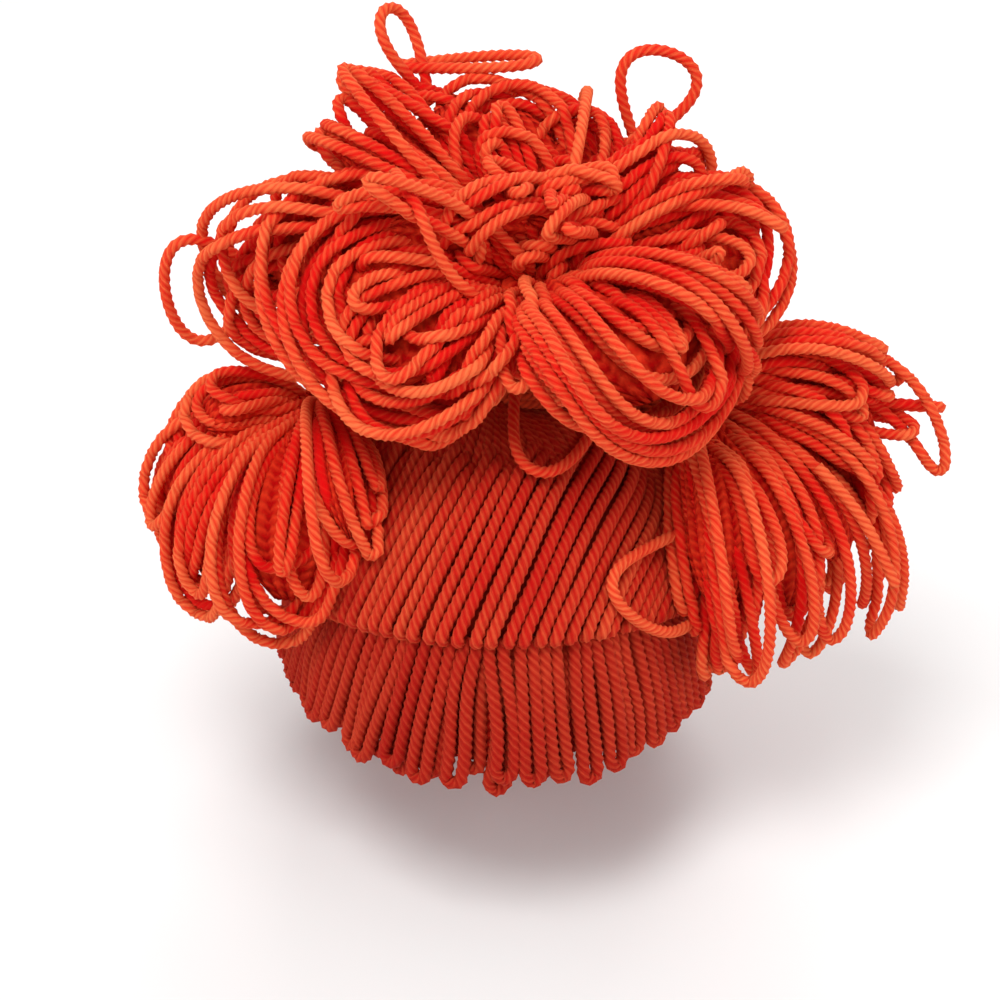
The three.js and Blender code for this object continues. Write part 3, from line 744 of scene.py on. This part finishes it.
def ribbed_piece(name, tubes, finish, node):
    """A piece made of ribbed tubes, each given by its rings, by how far each point lies on a rib,
    and by its way along the tube. A point also carries the count of ply marks up to it, which
    goes on by one in every 3 mm and runs askew on the rib. The tubes' two poles get 0."""
    points, triangles, ridges, twists, begin = [], [], [], [], 0
    for rings, ridge, way in tubes:
        tube_points, tube_triangles = closed_tube(rings)
        points.append(tube_points)
        triangles.append(tube_triangles + begin)
        begin += len(tube_points)
        ridges.append(np.append(ridge, [0, 0]))
        twists.append(np.append(way / PLY_MARK + ridge * PLY_SLANT, [0, 0]))
    attributes = [
        ("ridge", "FLOAT", np.concatenate(ridges)),
        ("twist", "FLOAT", np.concatenate(twists)),
    ]
    faces = np.concatenate(triangles)
    mesh_piece(name, np.concatenate(points), faces, finish, [node], attributes)


def filling_finish(name, bright, deep):
    """Yarn deep inside a bunch, coloured as painted shade: ridges that run along it, darker and
    redder between them, which is painted shade too, with the marks of the plies across each ridge
    as a sine of their count, painted shade of the ply grooves that also raises a bump."""
    finish = Finish(name)
    ridge, twist = finish.carried("ridge"), finish.carried("twist")
    marks = finish.node("ShaderNodeMath", {"operation": "SINE"}, {0: twist * 2 * math.pi})[0]
    fibres = finish.grain(finish.place(), 700, 3)
    # Painted shade: the colour darkens between the ridges and along the ply marks. The fibre noise
    # is the yarn's own.
    light = ridge * 0.7 + marks * 0.2 - 0.1 + (fibres - 0.5) * 0.6
    color = finish.mix(light, deep, bright)
    bump = finish.bump(fibres * 0.4 + marks * 0.5, 0.7, 0.0008)
    return finish.surface(Base_Color=color, Roughness=0.95, Normal=bump)


# A shade of 0.2 makes the fringe's yarn deeper still: painted shade.
fringe_finish = yarn_finish("fringe_yarn", FRINGE_SHADED_BRIGHT, FRINGE_SHADED_DEEP, 0.2)
backing_finish = filling_finish("inner_fringe_yarn", BACKING_SHADED_BRIGHT, BACKING_SHADED_DEEP)
tiers = [fringe_tier(start, end, loops) for _, start, end, loops in FRINGES]
for (name, *_), tier in zip(FRINGES, tiers):
    yarn_piece(name + "_yarn", tier, fringe_finish, name, FRINGE_YARN)
for name, start, end, _ in FRINGES:
    band = fringe_backing(start, end)
    ribbed_piece(name + "_backing", [band], backing_finish, name)


# The ties: the same yarn wound three times round the neck of each bunch and tucked into itself.
# The one on the crown stands upright, and the two at the sides stand out from the head.
TIE_TURNS = 3
TIE_YARN = 4.2
TIE_STEP = 3.4
TIE_HEIGHT = 12
TOP_NECK = 11
SIDE_NECK = 8
TOP_FOOT = np.array([12, -4, 6.35])
SIDE_HEADING = math.radians(96)
SIDE_ARC = math.radians(42)
SIDE_FOOT_SHARE = 0.9
# The ties are the same yarn in a darker copy: painted shade at the bunches' necks.
TIE_SHADED_BRIGHT = (0.72, 0.06, 0.016, 1)
TIE_SHADED_DEEP = (0.3, 0.01, 0.004, 1)


def side_place(sign):
    """Where a side tie stands on the strand layer, and the direction in which it stands out."""
    foot = head_point(sign * SIDE_HEADING, SIDE_ARC, LAYER_INNER + STRAND_LAYER * SIDE_FOOT_SHARE)
    return foot, unit(foot - head_point(sign * SIDE_HEADING, SIDE_ARC, 0))


def wound_tie(foot, direction, neck):
    """A helix round the neck: radius neck plus half a strand, climbing one strand a turn, with
    both ends led inwards."""
    turn = np.linspace(0, 1, 60 * TIE_TURNS)
    angle = turn * 2 * np.pi * (TIE_TURNS - 0.25)
    across = unit(np.cross(direction, (0.2, 0.9, 0.37)))
    beside = np.cross(direction, across)
    inward = np.clip(np.abs(turn - 0.5) * 2 - 0.9, 0, 0.1) * 30
    reach = (neck + TIE_YARN / 2 + 0.2 - inward)[:, None]
    climb = (YARN_RADIUS + turn * (TIE_HEIGHT - 2 * YARN_RADIUS))[:, None]
    wound = np.cos(angle)[:, None] * across + np.sin(angle)[:, None] * beside
    return [even_steps(foot + direction * climb + wound * reach, TIE_STEP)]


tie_finish = yarn_finish("tie_yarn", TIE_SHADED_BRIGHT, TIE_SHADED_DEEP)
TIES = [
    ("top_tie", TOP_FOOT, np.array([0, 0, 1.0]), TOP_NECK),
    ("left_tie", *side_place(-1), SIDE_NECK),
    ("right_tie", *side_place(1), SIDE_NECK),
]
for name, foot, direction, neck in TIES:
    yarn_piece(name + "_yarn", wound_tie(foot, direction, neck), tie_finish, name)


# The heart: the lump of folded yarn that the top tie squeezes together and that every lock of
# the top mass starts from. Only scraps of it show, deep between the locks.
HEART_FOOT = TOP_FOOT[2] + TIE_HEIGHT + 2.4
HEART_HEIGHT = 36
HEART_OUTLINE = np.array(
    [(11, -12), (11, 0.2), (22.1, 7.2), (26, 18), (24.7, 24.1), (15.6, 32), (4, 35.8)]
)
HEART_RIBS = 17
# The heart and the fillings are the yarn made darker and redder: painted shade deep in the bunches.
INNER_SHADED_BRIGHT = (0.8, 0.05, 0.014, 1)
INNER_SHADED_DEEP = (0.45, 0.002, 0.002, 1)


def heart_tube():
    """Rings of the heart, how far each point lies on a rib, and how far up it is: an outline of
    radius and height turned round the tie's axis, with ribs that wind slowly up it."""
    up = np.linspace(0, 1, 30)[:, None]
    knots = np.linspace(0, 1, len(HEART_OUTLINE))
    angle = np.arange(HEART_RIBS * 6) / (HEART_RIBS * 6) * 2 * np.pi
    ridge = np.abs(np.cos(angle[None, :] * HEART_RIBS / 2 + up * 4))
    reach = np.interp(up, knots, HEART_OUTLINE[:, 0]) + ridge * 1.4 - 1.2
    level = np.interp(up, knots, HEART_OUTLINE[:, 1]) + HEART_FOOT + 0 * reach
    x, y = TOP_FOOT[0] + reach * np.cos(angle), TOP_FOOT[1] + reach * np.sin(angle)
    return np.stack([x, y, level], -1), ridge, up * HEART_HEIGHT + 0 * ridge


inner_finish = filling_finish("inner_yarn", INNER_SHADED_BRIGHT, INNER_SHADED_DEEP)
ribbed_piece("knot_heart_lump", [heart_tube()], inner_finish, "knot_heart")


# The bunches: each is a few locks, and a lock is a family of yarn loops that start at a tie, arch
# out and come back. The loops lie nested, side by side or in a ring, over a ribbed filling that
# stands for the loops nobody sees and is coloured dark as painted shade. All loops are then left to
# settle against each other.
LOCK_SHARES = (0, 0.16, 0.36, 0.6, 0.8, 0.93, 1)
LOCK_GIRTH = (0.28, 0.5, 0.82, 1, 0.9, 0.58, 0.12)
LOOP_GIRTH = (0.28, 0.5, 0.82, 1, 1, 0.92, 0.88)
NEST_PITCH = 4.8
FAN_PITCH = 9.5
NARROWEST = 2.3
FILLING_END = 0.8
FILLING_RIBS = 14
FILLING_RIB = 1.5
TOP_ROOT = np.array([12, -4, HEART_FOOT + 12])
SIDE_ROOT_LIFT = TIE_HEIGHT + 0.35


def lock_frame(root, lock, reach, along):
    """The middle of a lock and the directions across it at shares of its length: a straight
    chord from the root plus a lift of 4 arch along (1 - along), its flat side turned by roll."""
    heading, rise, roll = (math.radians(lock[word]) for word in ("heading", "rise", "roll"))
    chord = np.array(
        [math.sin(heading) * math.cos(rise), -math.cos(heading) * math.cos(rise), math.sin(rise)]
    )
    lift = unit(np.array([0, 0, 1.0]) - chord * chord[2])
    length = reach * lock["reach"]
    arch = 4 * lock["arch"] * length
    along = np.asarray(along)[..., None]
    centre = root + chord * length * along + lift * arch * along * (1 - along)
    tangent = unit(chord * length + lift * arch * (1 - 2 * along))
    flat = np.cross(chord, lift)
    side = flat * math.cos(roll) - lift * math.sin(roll)
    side = unit(side - tangent * (side * tangent).sum(-1, keepdims=True))
    return centre, side, np.cross(side, tangent)


def half_section(lock, size):
    """Half the width and half the depth of a lock."""
    return size["width"] * lock["width"] / 2, size["depth"] * lock["depth"] / 2


def loop_path(root, lock, size, begin, tip, section, reach, bend=2, flat=(1, 0), taper=1):
    """Path of one loop of a lock and how free each of its nodes is. As its turn goes through half
    a circle it goes out by the sine from begin to tip, and across by reach times the cosine times
    sqrt(1 + s^2 + s^4), which is a teardrop with a round end. section is where its middle lies
    across and up in the lock's section, flat the direction in the section in which it is wide.
    It leaves the lock's middle smoothly, leans by a small chance angle and sways on its way."""
    length = size["reach"] * lock["reach"]
    turn = np.linspace(0, np.pi, 140)
    out = np.sin(turn)
    along = begin + (tip - begin) * out
    emerge = ease((along - begin) / 0.18)
    closing = np.cos(turn) * np.sqrt(1 + out**2 + out**4) * emerge**0.5
    girth = np.interp(along, LOCK_SHARES, LOOP_GIRTH)
    rise = np.interp(along, LOCK_SHARES, LOCK_GIRTH)
    lean = along * length * chance.normal(0, 0.05, 2)[:, None]
    hook = out**2 * chance.normal(0, bend, 2)[:, None]
    wave, phase = chance.uniform(1.2, 3.4, 2)[:, None], chance.uniform(0, 2 * np.pi, 2)[:, None]
    sway = chance.normal(0, 1 + bend * 0.15, 2)[:, None] * np.sin(turn * wave + phase) * out
    wide = closing * (reach * girth**taper)
    x = section[0] * (girth + rise) / 2 * emerge + flat[0] * wide + lean[0] + sway[0] + hook[0]
    y = section[1] * rise * emerge + flat[1] * wide + (lean[1] + hook[1]) * 0.6 + sway[1]
    centre, side, face = lock_frame(root, lock, size["reach"], along)
    path = centre + side * x[:, None] + face * y[:, None]
    free = np.clip((along - begin) / 0.3, 0, 1)
    return even_steps(np.concatenate([path, free[:, None]], 1))


def nested_loops(root, lock, size, share=1.0):
    """Loops one inside the other: each goes round the whole lock at its own height, the widest at
    the lock's edge, the narrowest and shortest on its crest. A share of them is laid."""
    half_width, half_depth = half_section(lock, size)
    quarter = np.pi / 2 * math.sqrt((half_width**2 + half_depth**2) / 2)
    upper = max(int(round(share * quarter / NEST_PITCH)), 3)
    lower = max(upper // 2, 2)
    climbs = [(k + 0.4) / upper * 90 for k in range(upper)]
    climbs += [-(k + 0.6) / lower * 80 for k in range(lower)]
    loops = []
    for climb in climbs:
        angle = math.radians(climb + chance.normal(0, 2.5))
        across, height = math.cos(angle), math.sin(angle)
        short = abs(height) ** 1.3
        tip = 1 - 0.02 * chance.random() - short * chance.uniform(0.05, 0.42)
        tip = tip - 0.1 * (height < 0)
        begin = size["begin"] + chance.uniform(0, 0.09) + 0.12 * short * chance.random()
        reach = max(across * half_width, NARROWEST) * chance.uniform(0.92, 1.06)
        section = (0, height * (half_depth - 1))
        loops.append(loop_path(root, lock, size, begin, tip, section, reach, size["bend"] / 2.5))
    return loops


def few_loops(root, lock, size):
    """A few nested loops over a filling, for a lock that shows little."""
    return nested_loops(root, lock, size, 0.3)


def arched_loops(root, lock, size):
    """Arches side by side, each one shorter and narrower than the one outside it."""
    half_width, half_depth = half_section(lock, size)
    count = int(0.62 * size["reach"] * lock["reach"] / NEST_PITCH)
    loops = []
    for number in range(count):
        inner = number / count
        height = (half_depth - 1) * (0.95 - 1.1 * inner + 0.8 * inner**2)
        section = (0, -height if number % 4 == 3 else height)
        begin = size["begin"] + chance.uniform(0, 0.1)
        tip = 1 - 0.62 * inner**1.4 + chance.uniform(-0.01, 0.01)
        reach = half_width * (1 - 0.75 * inner**1.2) * chance.uniform(0.96, 1.04)
        loops.append(loop_path(root, lock, size, begin, tip, section, reach))
    return loops


def fanned_loops(root, lock, size):
    """Narrow loops side by side all round the lock: each lies along its own line on the lock's
    outline, flat against it, and they end at uneven lengths."""
    half_width, half_depth = half_section(lock, size)
    outline = 2 * np.pi * math.sqrt((half_width**2 + half_depth**2) / 2)
    count = max(int(round(outline / FAN_PITCH)), 5)
    turns = (np.arange(count) + chance.uniform(-0.25, 0.25, count)) / count * 2 * np.pi
    loops = []
    for angle in turns:
        section = ((half_width - 1) * math.cos(angle), (half_depth - 1) * math.sin(angle))
        x, y = unit(np.array([-half_width * math.sin(angle), half_depth * math.cos(angle)]))
        tilt = chance.normal(0, 0.5)
        flat = (x * math.cos(tilt) - y * math.sin(tilt), x * math.sin(tilt) + y * math.cos(tilt))
        tip = 1.03 - 0.36 * chance.random() ** 1.6
        begin = size["begin"] + chance.uniform(0, 0.2)
        reach = chance.uniform(*size["eye"])
        bend = size["bend"]
        loops.append(loop_path(root, lock, size, begin, tip, section, reach, bend, flat, 1.4))
    return loops


def ringed_loops(root, lock, size):
    """Loops round one eye, as in a rosette: the outermost goes round the whole lock, and each
    one inside it starts further out and ends further in, on the lock's upper side. Nested loops
    fill the lock under them."""
    half_width, half_depth = half_section(lock, size)
    count = int(half_width / NEST_PITCH)
    loops = []
    for number in range(count):
        inner = number / count
        height = math.sin(inner * np.pi / 2) * 0.9
        section = (inner * 3, height * (half_depth - 1))
        begin = 0.14 + 0.34 * inner**1.3 + chance.uniform(-0.02, 0.02)
        tip = 1 - 0.26 * inner + chance.uniform(-0.02, 0.02)
        reach = half_width * (1 - inner) * chance.uniform(0.96, 1.04) + 1
        loops.append(loop_path(root, lock, size, begin, tip, section, reach))
    return loops + nested_loops(root, lock, size, 0.45)


def lock_filling(root, lock, size):
    """Rings of a lock's filling, how far each point lies on a rib, and its way along the lock:
    ellipses of a share of the lock's section, with ribs round them that wind slowly along it."""
    half_width, half_depth = half_section(lock, size)
    along = np.linspace(0.03, FILLING_END, 13)
    turn = np.arange(FILLING_RIBS * 4) / (FILLING_RIBS * 4) * 2 * np.pi
    centre, side, face = lock_frame(root, lock, size["reach"], along)
    girth = np.interp(along, LOCK_SHARES, LOCK_GIRTH)[:, None]
    girth = girth * np.sqrt(1 - (along[:, None] / (FILLING_END + 0.02)) ** 6)
    ridge = np.abs(np.cos(turn[None, :] * FILLING_RIBS / 2 + along[:, None] * 3))
    relief = (ridge - 1) * FILLING_RIB
    across = (half_width * size["filling"] * girth + relief) * np.cos(turn)
    up = (half_depth * size["filling"] * girth + relief) * np.sin(turn)
    rings = centre[:, None] + side[:, None] * across[..., None] + face[:, None] * up[..., None]
    return rings, ridge, along[:, None] * size["reach"] * lock["reach"] + 0 * ridge


# Each kind of bunch: how far its locks reach, how wide and deep they are, how much a loop bends
# by chance, where loops begin, how wide a narrow loop is, and the filling's share of the section.
SIZE_WORDS = ("reach", "width", "depth", "bend", "begin", "eye", "filling")
SIZES = {
    "front": (88, 72, 34, 6, 0.13, (2.8, 7), 0.7),
    "crest": (96, 40, 28, 13, 0.13, (3.5, 9), 0.7),
    "wing": (122, 40, 26, 6, 0.13, (2.8, 7), 0.9),
    "back": (92, 60, 32, 8, 0.13, (2.8, 7), 0.7),
    "side": (98, 48, 28, 8, 0.03, (4.5, 9.5), 0.7),
    "crown": (52, 34, 24, 8, 0.13, (2.8, 7), 0.7),
}
LEFT_ROOT, RIGHT_ROOT = (
    foot + out * SIDE_ROOT_LIFT for foot, out in (side_place(-1), side_place(1))
)

# Each bunch: its root, its kind, the start of its own chance sequence, so that a change to one
# leaves the others alone, and its locks. Each lock: its heading in degrees from the front towards
# +X, its rise above level, its reach, width and depth as shares of its kind's, how far it arches
# up, how it is rolled, and how its loops are laid.
LOCK_WORDS = ("heading", "rise", "reach", "width", "depth", "arch", "roll", "laid")
LAYINGS = {
    "nest": nested_loops,
    "few": few_loops,
    "arch": arched_loops,
    "ring": ringed_loops,
    "fan": fanned_loops,
}
BUNCHES = {
    "front_right_bunch": (TOP_ROOT, "front", 2, [
        (38, -18, 0.85, 1.22, 1.05, 0.34, -14, "nest"),
        (66, -1, 0.9, 0.85, 0.9, 0.2, -45, "nest"),
        (20, -8, 0.62, 0.6, 0.8, 0.4, -10, "fan"),
        (83, -25, 0.88, 0.55, 0.8, 0.16, -50, "few"),
    ]),
    "front_left_bunch": (TOP_ROOT, "front", 4, [
        (-63, -3, 0.94, 1.3, 1, 0.22, -50, "ring"),
        (-45, -13, 0.88, 0.8, 0.9, 0.28, -16, "nest"),
        (-31, -18, 0.74, 0.55, 0.8, 0.36, 10, "nest"),
        (-77, 29, 0.9, 0.6, 0.8, 0.1, 70, "fan"),
    ]),
    "upper_right_bunch": (TOP_ROOT, "crest", 2, [
        (94, 9, 0.93, 1.55, 1, 0.12, 50, "nest"),
        (102, 21, 0.86, 0.95, 1, 0.1, -60, "fan"),
        (114, 34, 0.87, 1, 1, 0.06, 90, "nest"),
    ]),
    "upper_left_bunch": (TOP_ROOT, "wing", 2, [
        (-98, 10, 0.96, 1.55, 1.1, 0.06, -98, "arch"),
        (-97, 3, 0.9, 1.05, 0.9, 0.06, -94, "nest"),
        (-104, 23, 0.84, 0.95, 1, 0.05, -100, "nest"),
    ]),
    "crest_left_bunch": (TOP_ROOT, "crest", 2, [
        (-108, 33, 1.07, 1, 0.9, 0.1, 30, "nest"),
        (-121, 41, 1.07, 0.85, 0.9, 0.06, 20, "fan"),
        (-143, 48, 1, 1.1, 1, 0.05, 0, "nest"),
        (-112, 47, 0.62, 1.1, 1, 0.3, 10, "nest"),
    ]),
    "crest_right_bunch": (TOP_ROOT, "crest", 4, [
        (-168, 50, 0.92, 1.2, 1, 0.05, 0, "nest"),
        (162, 46, 0.83, 0.95, 1, 0.05, 0, "nest"),
        (138, 42, 0.82, 0.9, 1, 0.06, -20, "fan"),
    ]),
    "back_bunch": (TOP_ROOT, "back", 1, [
        (180, -34, 1.08, 1, 1, 0.32, 0, "nest"),
        (140, -30, 1.02, 0.95, 1, 0.3, 0, "nest"),
        (-140, -30, 1.04, 0.95, 1, 0.3, 0, "nest"),
        (-178, 16, 0.88, 0.95, 1, 0.14, 0, "fan"),
    ]),
    "right_side_bunch": (RIGHT_ROOT, "side", 4, [
        (88, -2, 0.84, 0.45, 0.7, 0.15, -30, "fan"),
        (88, 3, 0.72, 0.7, 0.8, 0.24, -35, "nest"),
        (84, -18, 0.81, 0.7, 1, 0.22, -50, "fan"),
        (77, -34, 0.86, 0.75, 1, 0.24, -40, "fan"),
        (59, -47, 0.94, 0.8, 1, 0.26, -20, "fan"),
        (32, -51, 0.97, 0.85, 1, 0.28, 0, "fan"),
        (9, -43, 0.97, 0.7, 0.8, 0.26, 20, "fan"),
    ]),
    "left_side_bunch": (LEFT_ROOT, "side", 3, [
        (-86, -33, 0.61, 0.9, 1, 0.13, -42, "nest"),
        (-72, -8, 0.5, 0.65, 0.8, 0.1, -42, "nest"),
        (-78, -50, 0.83, 0.85, 1, 0.22, -30, "nest"),
        (-46, -57, 0.86, 0.9, 1, 0.26, -10, "nest"),
        (-6, -47, 0.9, 1.1, 0.9, 0.26, -20, "nest"),
        (13, -22, 0.86, 0.7, 0.7, 0.2, -50, "nest"),
    ]),
    "knot_heart": (TOP_ROOT, "crown", 2, [
        (-20, 58, 1, 1, 1, 0.35, 30, "fan"),
        (100, 52, 1, 1, 1, 0.35, -20, "fan"),
        (-60, 38, 1, 1.1, 1, 0.45, 60, "nest"),
    ]),
}

# Single loops that stand clear of a bunch: the heading, rise and share of the reach at which the
# foot lies, the heading and rise in which the loop stands out, its length and width, and its roll.
STRAY_LEGS = 2.94
STRAY_TAIL = 9
STRAYS = {
    "crest_left_bunch": [
        (-142, 46, 0.94, -110, 63, 0.27, 0.4, -15),
        (-146, 46, 0.99, 87, 4, 0.39, 0.2, 0),
    ],
    "crest_right_bunch": [(140, 42, 0.76, 115, 71, 0.3, 0.75, 70)],
    "upper_left_bunch": [(-99, 5, 0.75, -83, -6, 0.27, 1, 90)],
    "right_side_bunch": [(88, 3, 0.45, 91, -5, 0.46, 0.12, -30)],
}

# Single strands that have worked loose and lie on the front of the cover: azimuth and arc in
# degrees and the distance off the head, each from under one of the bunches and back under it.
LOOSE_ON_HEAD = {
    "front_right_bunch": [
        (36, 6, 26), (14, 15, 21), (6.5, 23, 17), (3.5, 27.5, 16.5), (13, 33, 16.5),
        (22, 34, 16.5), (40, 31.5, 17.5), (52, 28, 22),
    ],
    "right_side_bunch": [
        (84, 60, 20), (73, 59.5, 18), (63, 56.5, 17), (46, 53.5, 16.5), (31.5, 53, 16.5),
        (29, 56.5, 16.5), (33.5, 61.5, 16.5), (44.5, 72, 16.5), (55, 75.5, 16.5),
        (66, 75.5, 16.5), (80, 71, 18),
    ],
}

# Single strands away from the head, in millimetres: one that falls across the rosette from the
# crest, and one end that hangs from the right side bunch.
LOOSE_IN_AIR = {
    "front_left_bunch": [
        (-33, -12, 88), (-32, -21, 91), (-28, -31, 88), (-23.7, -35, 81), (-19.5, -35, 69),
        (-14.7, -37, 59), (-6, -39, 55), (3, -30, 50),
    ],
    "right_side_bunch": [
        (104, -29, -8), (113, -34, -14), (120, -39, -20), (124, -41, -28), (127.5, -41.5, -37),
        (131, -42, -46),
    ],
}


def stray_loop(root, reach, stray):
    """Path of a single loop: out by the sine and across by a teardrop, its two legs side by side
    in the bunch. It is laid out as a small lock of its own, from a foot along the bunch."""
    heading, rise, start, toward, lift, length, width, roll = stray
    inner = {"heading": heading, "rise": rise, "reach": 1, "arch": 0, "roll": 0}
    foot = lock_frame(root, inner, reach, start)[0]
    outer = {"heading": toward, "rise": lift, "reach": length, "arch": 0, "roll": roll}
    turn = np.linspace(0, np.pi, 80)
    across = STRAY_LEGS * np.cos(turn) + width * length * reach * np.sin(2 * turn) / 2
    centre, side, _ = lock_frame(foot, outer, reach, np.sin(turn))
    path = centre + side * across[:, None]
    before = np.linspace(-STRAY_TAIL, 0, 6)[:-1, None] * unit(path[1] - path[0])
    after = np.linspace(0, STRAY_TAIL, 6)[1:, None] * unit(path[-1] - path[-2])
    whole = np.concatenate([path[:1] + before, path, path[-1:] + after])
    return even_steps(whole)


def loose_strand(path):
    """Path of a loose strand: its corners are cut three times at a quarter and three quarters of
    each side, and its ends are held while its middle is free to settle."""
    for _ in range(3):
        cut = np.stack([path[:-1] * 0.75 + path[1:] * 0.25, path[:-1] * 0.25 + path[1:] * 0.75], 1)
        path = np.concatenate([path[:1], cut.reshape(-1, 3), path[-1:]])
    free = np.sin(np.linspace(0, np.pi, len(path)))
    return even_steps(np.concatenate([path, free[:, None]], 1))


def near_pairs(points, reach):
    """Pairs of points nearer than reach. The points are sorted into cubes of that size, and each
    is set against those in its own cube and in the half of the cubes round it."""
    cell = np.floor(points / reach).astype(np.int64)
    cell -= cell.min(0) - 1
    span = cell.max(0) + 3
    key = (cell[:, 0] * span[1] + cell[:, 1]) * span[2] + cell[:, 2]
    order = np.argsort(key, kind="stable")
    sorted_key = key[order]
    offsets = [(x, y, z) for x in (-1, 0, 1) for y in (-1, 0, 1) for z in (-1, 0, 1)]
    found = []
    for x, y, z in offsets[13:]:
        wanted = key + (x * span[1] + y) * span[2] + z
        low = np.searchsorted(sorted_key, wanted, "left")
        many = np.searchsorted(sorted_key, wanted, "right") - low
        one = np.repeat(np.arange(len(points)), many)
        other = order[np.arange(many.sum()) + np.repeat(low - np.cumsum(many) + many, many)]
        if (x, y, z) == (0, 0, 0):
            one, other = one[one < other], other[one < other]
        found.append(np.stack([one, other]))
    one, other = np.concatenate(found, 1)
    close = ((points[one] - points[other]) ** 2).sum(1) < reach**2
    return one[close], other[close]


def outside_head(points, clearance):
    """Points inside the head's surface plus a clearance are moved straight out from its middle
    until they lie on it."""
    across = points[:, 0] / (HEAD_HALF_WIDTH + clearance)
    deep = -points[:, 1] / (HEAD_HALF_LENGTH + clearance)
    azimuth = np.arctan2(across, deep)
    azimuth = np.arctan2(across / (1 - FOREHEAD_TAPER * np.cos(azimuth)), deep)
    taper = 1 - FOREHEAD_TAPER * np.cos(azimuth)
    level = (points[:, 2] + CROWN_HEIGHT) / (CROWN_HEIGHT + clearance)
    round_share = np.hypot(across / taper, deep)
    size = np.where(level > 0, np.hypot(round_share, level), round_share)
    grow = np.maximum(1 / np.maximum(size, 0.3), 1)
    middle = np.stack([0 * level, 0 * level, np.where(level > 0, -CROWN_HEIGHT, points[:, 2])], -1)
    return middle + (points - middle) * grow[:, None]


YARN_GAP = 3.9
SETTLE_ROUNDS = 60
PAIR_ROUNDS = 3
PAIR_REACH = 1.35 * YARN_GAP
PULL = 0.4
STIFFNESS = 0.25
PUSH = 0.3
HOLD = 0.012
DROOP = 0.02
LONGEST_MOVE = 1
HEAD_CLEARANCE = 15
CROWD_REACH = 10
CROWD = 18


def summed(ends, vectors, count):
    """For each of count nodes the sum of the vectors that end at it."""
    return np.stack([np.bincount(ends, vectors[:, axis], count) for axis in range(3)], -1)


# The buried share becomes painted shade: the yarn's finish darkens and reddens buried yarn by it.
def buried_share(points):
    """The share by which each node is buried: near 1 where it has many neighbours on all sides,
    and near 0 where they lie on one side, so that their directions don't cancel, or are few."""
    count = len(points)
    one, other = near_pairs(points, CROWD_REACH)
    away = unit(points[one] - points[other])
    crowd = np.bincount(one, minlength=count) + np.bincount(other, minlength=count)
    open_side = summed(one, away, count) - summed(other, away, count)
    lopsided = np.linalg.norm(open_side, axis=1) / np.maximum(crowd, 1)
    return np.clip(1.15 - lopsided / 0.45, 0, 1) * np.clip(crowd / CROWD, 0, 1)


def settle(strands):
    """Lets the loops lie against each other: in each round a segment goes back to its length, a
    node moves towards the middle of its neighbours, strands that overlap move apart, each node is
    drawn a little home and down, and none stays inside the covered head. The fourth column is how
    free a node is when it comes in, and how deep it is buried when it goes out."""
    nodes = np.concatenate(strands)
    counts = np.array([len(strand) for strand in strands])
    first = np.cumsum(counts) - counts
    home, free = nodes[:, :3], nodes[:, 3:]
    points = home.copy()
    segment = np.setdiff1d(np.arange(len(nodes)), first + counts - 1)
    inner = np.setdiff1d(segment, first)
    strand = np.repeat(np.arange(len(counts)), counts)
    length = np.linalg.norm(points[segment + 1] - points[segment], axis=1, keepdims=True)
    for number in range(SETTLE_ROUNDS):
        if number % PAIR_ROUNDS == 0:
            one, other = near_pairs(points, PAIR_REACH)
            apart = (strand[one] != strand[other]) | (np.abs(one - other) > 3)
            one, other = one[apart], other[apart]
            weight = np.minimum(free[one], free[other])
        shift = HOLD * (home - points)
        shift[:, 2] -= DROOP
        step = points[segment + 1] - points[segment]
        far = np.linalg.norm(step, axis=1, keepdims=True)
        pull = step * (PULL * (1 - length / np.maximum(far, 1e-6)))
        shift[segment] += pull
        shift[segment + 1] -= pull
        shift[inner] += STIFFNESS * ((points[inner - 1] + points[inner + 1]) / 2 - points[inner])
        between = points[one] - points[other]
        gap = np.linalg.norm(between, axis=1, keepdims=True)
        push = between / np.maximum(gap, 1e-3) * np.maximum(YARN_GAP - gap, 0) * PUSH * weight
        shift += summed(one, push, len(points))
        shift -= summed(other, push, len(points))
        points += np.clip(shift, -LONGEST_MOVE, LONGEST_MOVE) * free
        points = np.where(free > 0.5, outside_head(points, HEAD_CLEARANCE), points)
    return np.split(np.column_stack([points, buried_share(points)]), first[1:])


laid, owner, fillings = [], [], {}
for name, (root, kind, seed, locks) in BUNCHES.items():
    chance = np.random.default_rng(seed)
    size = dict(zip(SIZE_WORDS, SIZES[kind]))
    locks = [dict(zip(LOCK_WORDS, row)) for row in locks]
    strands = [loop for lock in locks for loop in LAYINGS[lock["laid"]](root, lock, size)]
    strands += [stray_loop(root, size["reach"], stray) for stray in STRAYS.get(name, [])]
    if name in LOOSE_ON_HEAD:
        azimuth, arc, offset = np.array(LOOSE_ON_HEAD[name], float).T
        strands.append(loose_strand(head_point(np.radians(azimuth), np.radians(arc), offset)))
    if name in LOOSE_IN_AIR:
        strands.append(loose_strand(np.array(LOOSE_IN_AIR[name], float)))
    laid += strands
    owner += [name] * len(strands)
    fillings[name] = [lock_filling(root, lock, size) for lock in locks]
settled = settle(laid)
bunch_finish = yarn_finish("orange_yarn", BRIGHT_ORANGE, DEEP_ORANGE)
for name in BUNCHES:
    mine = [strand for strand, whose in zip(settled, owner) if whose == name]
    yarn_piece(name + "_yarn", mine, bunch_finish, name)
    ribbed_piece(name + "_filling", fillings[name], inner_finish, name)
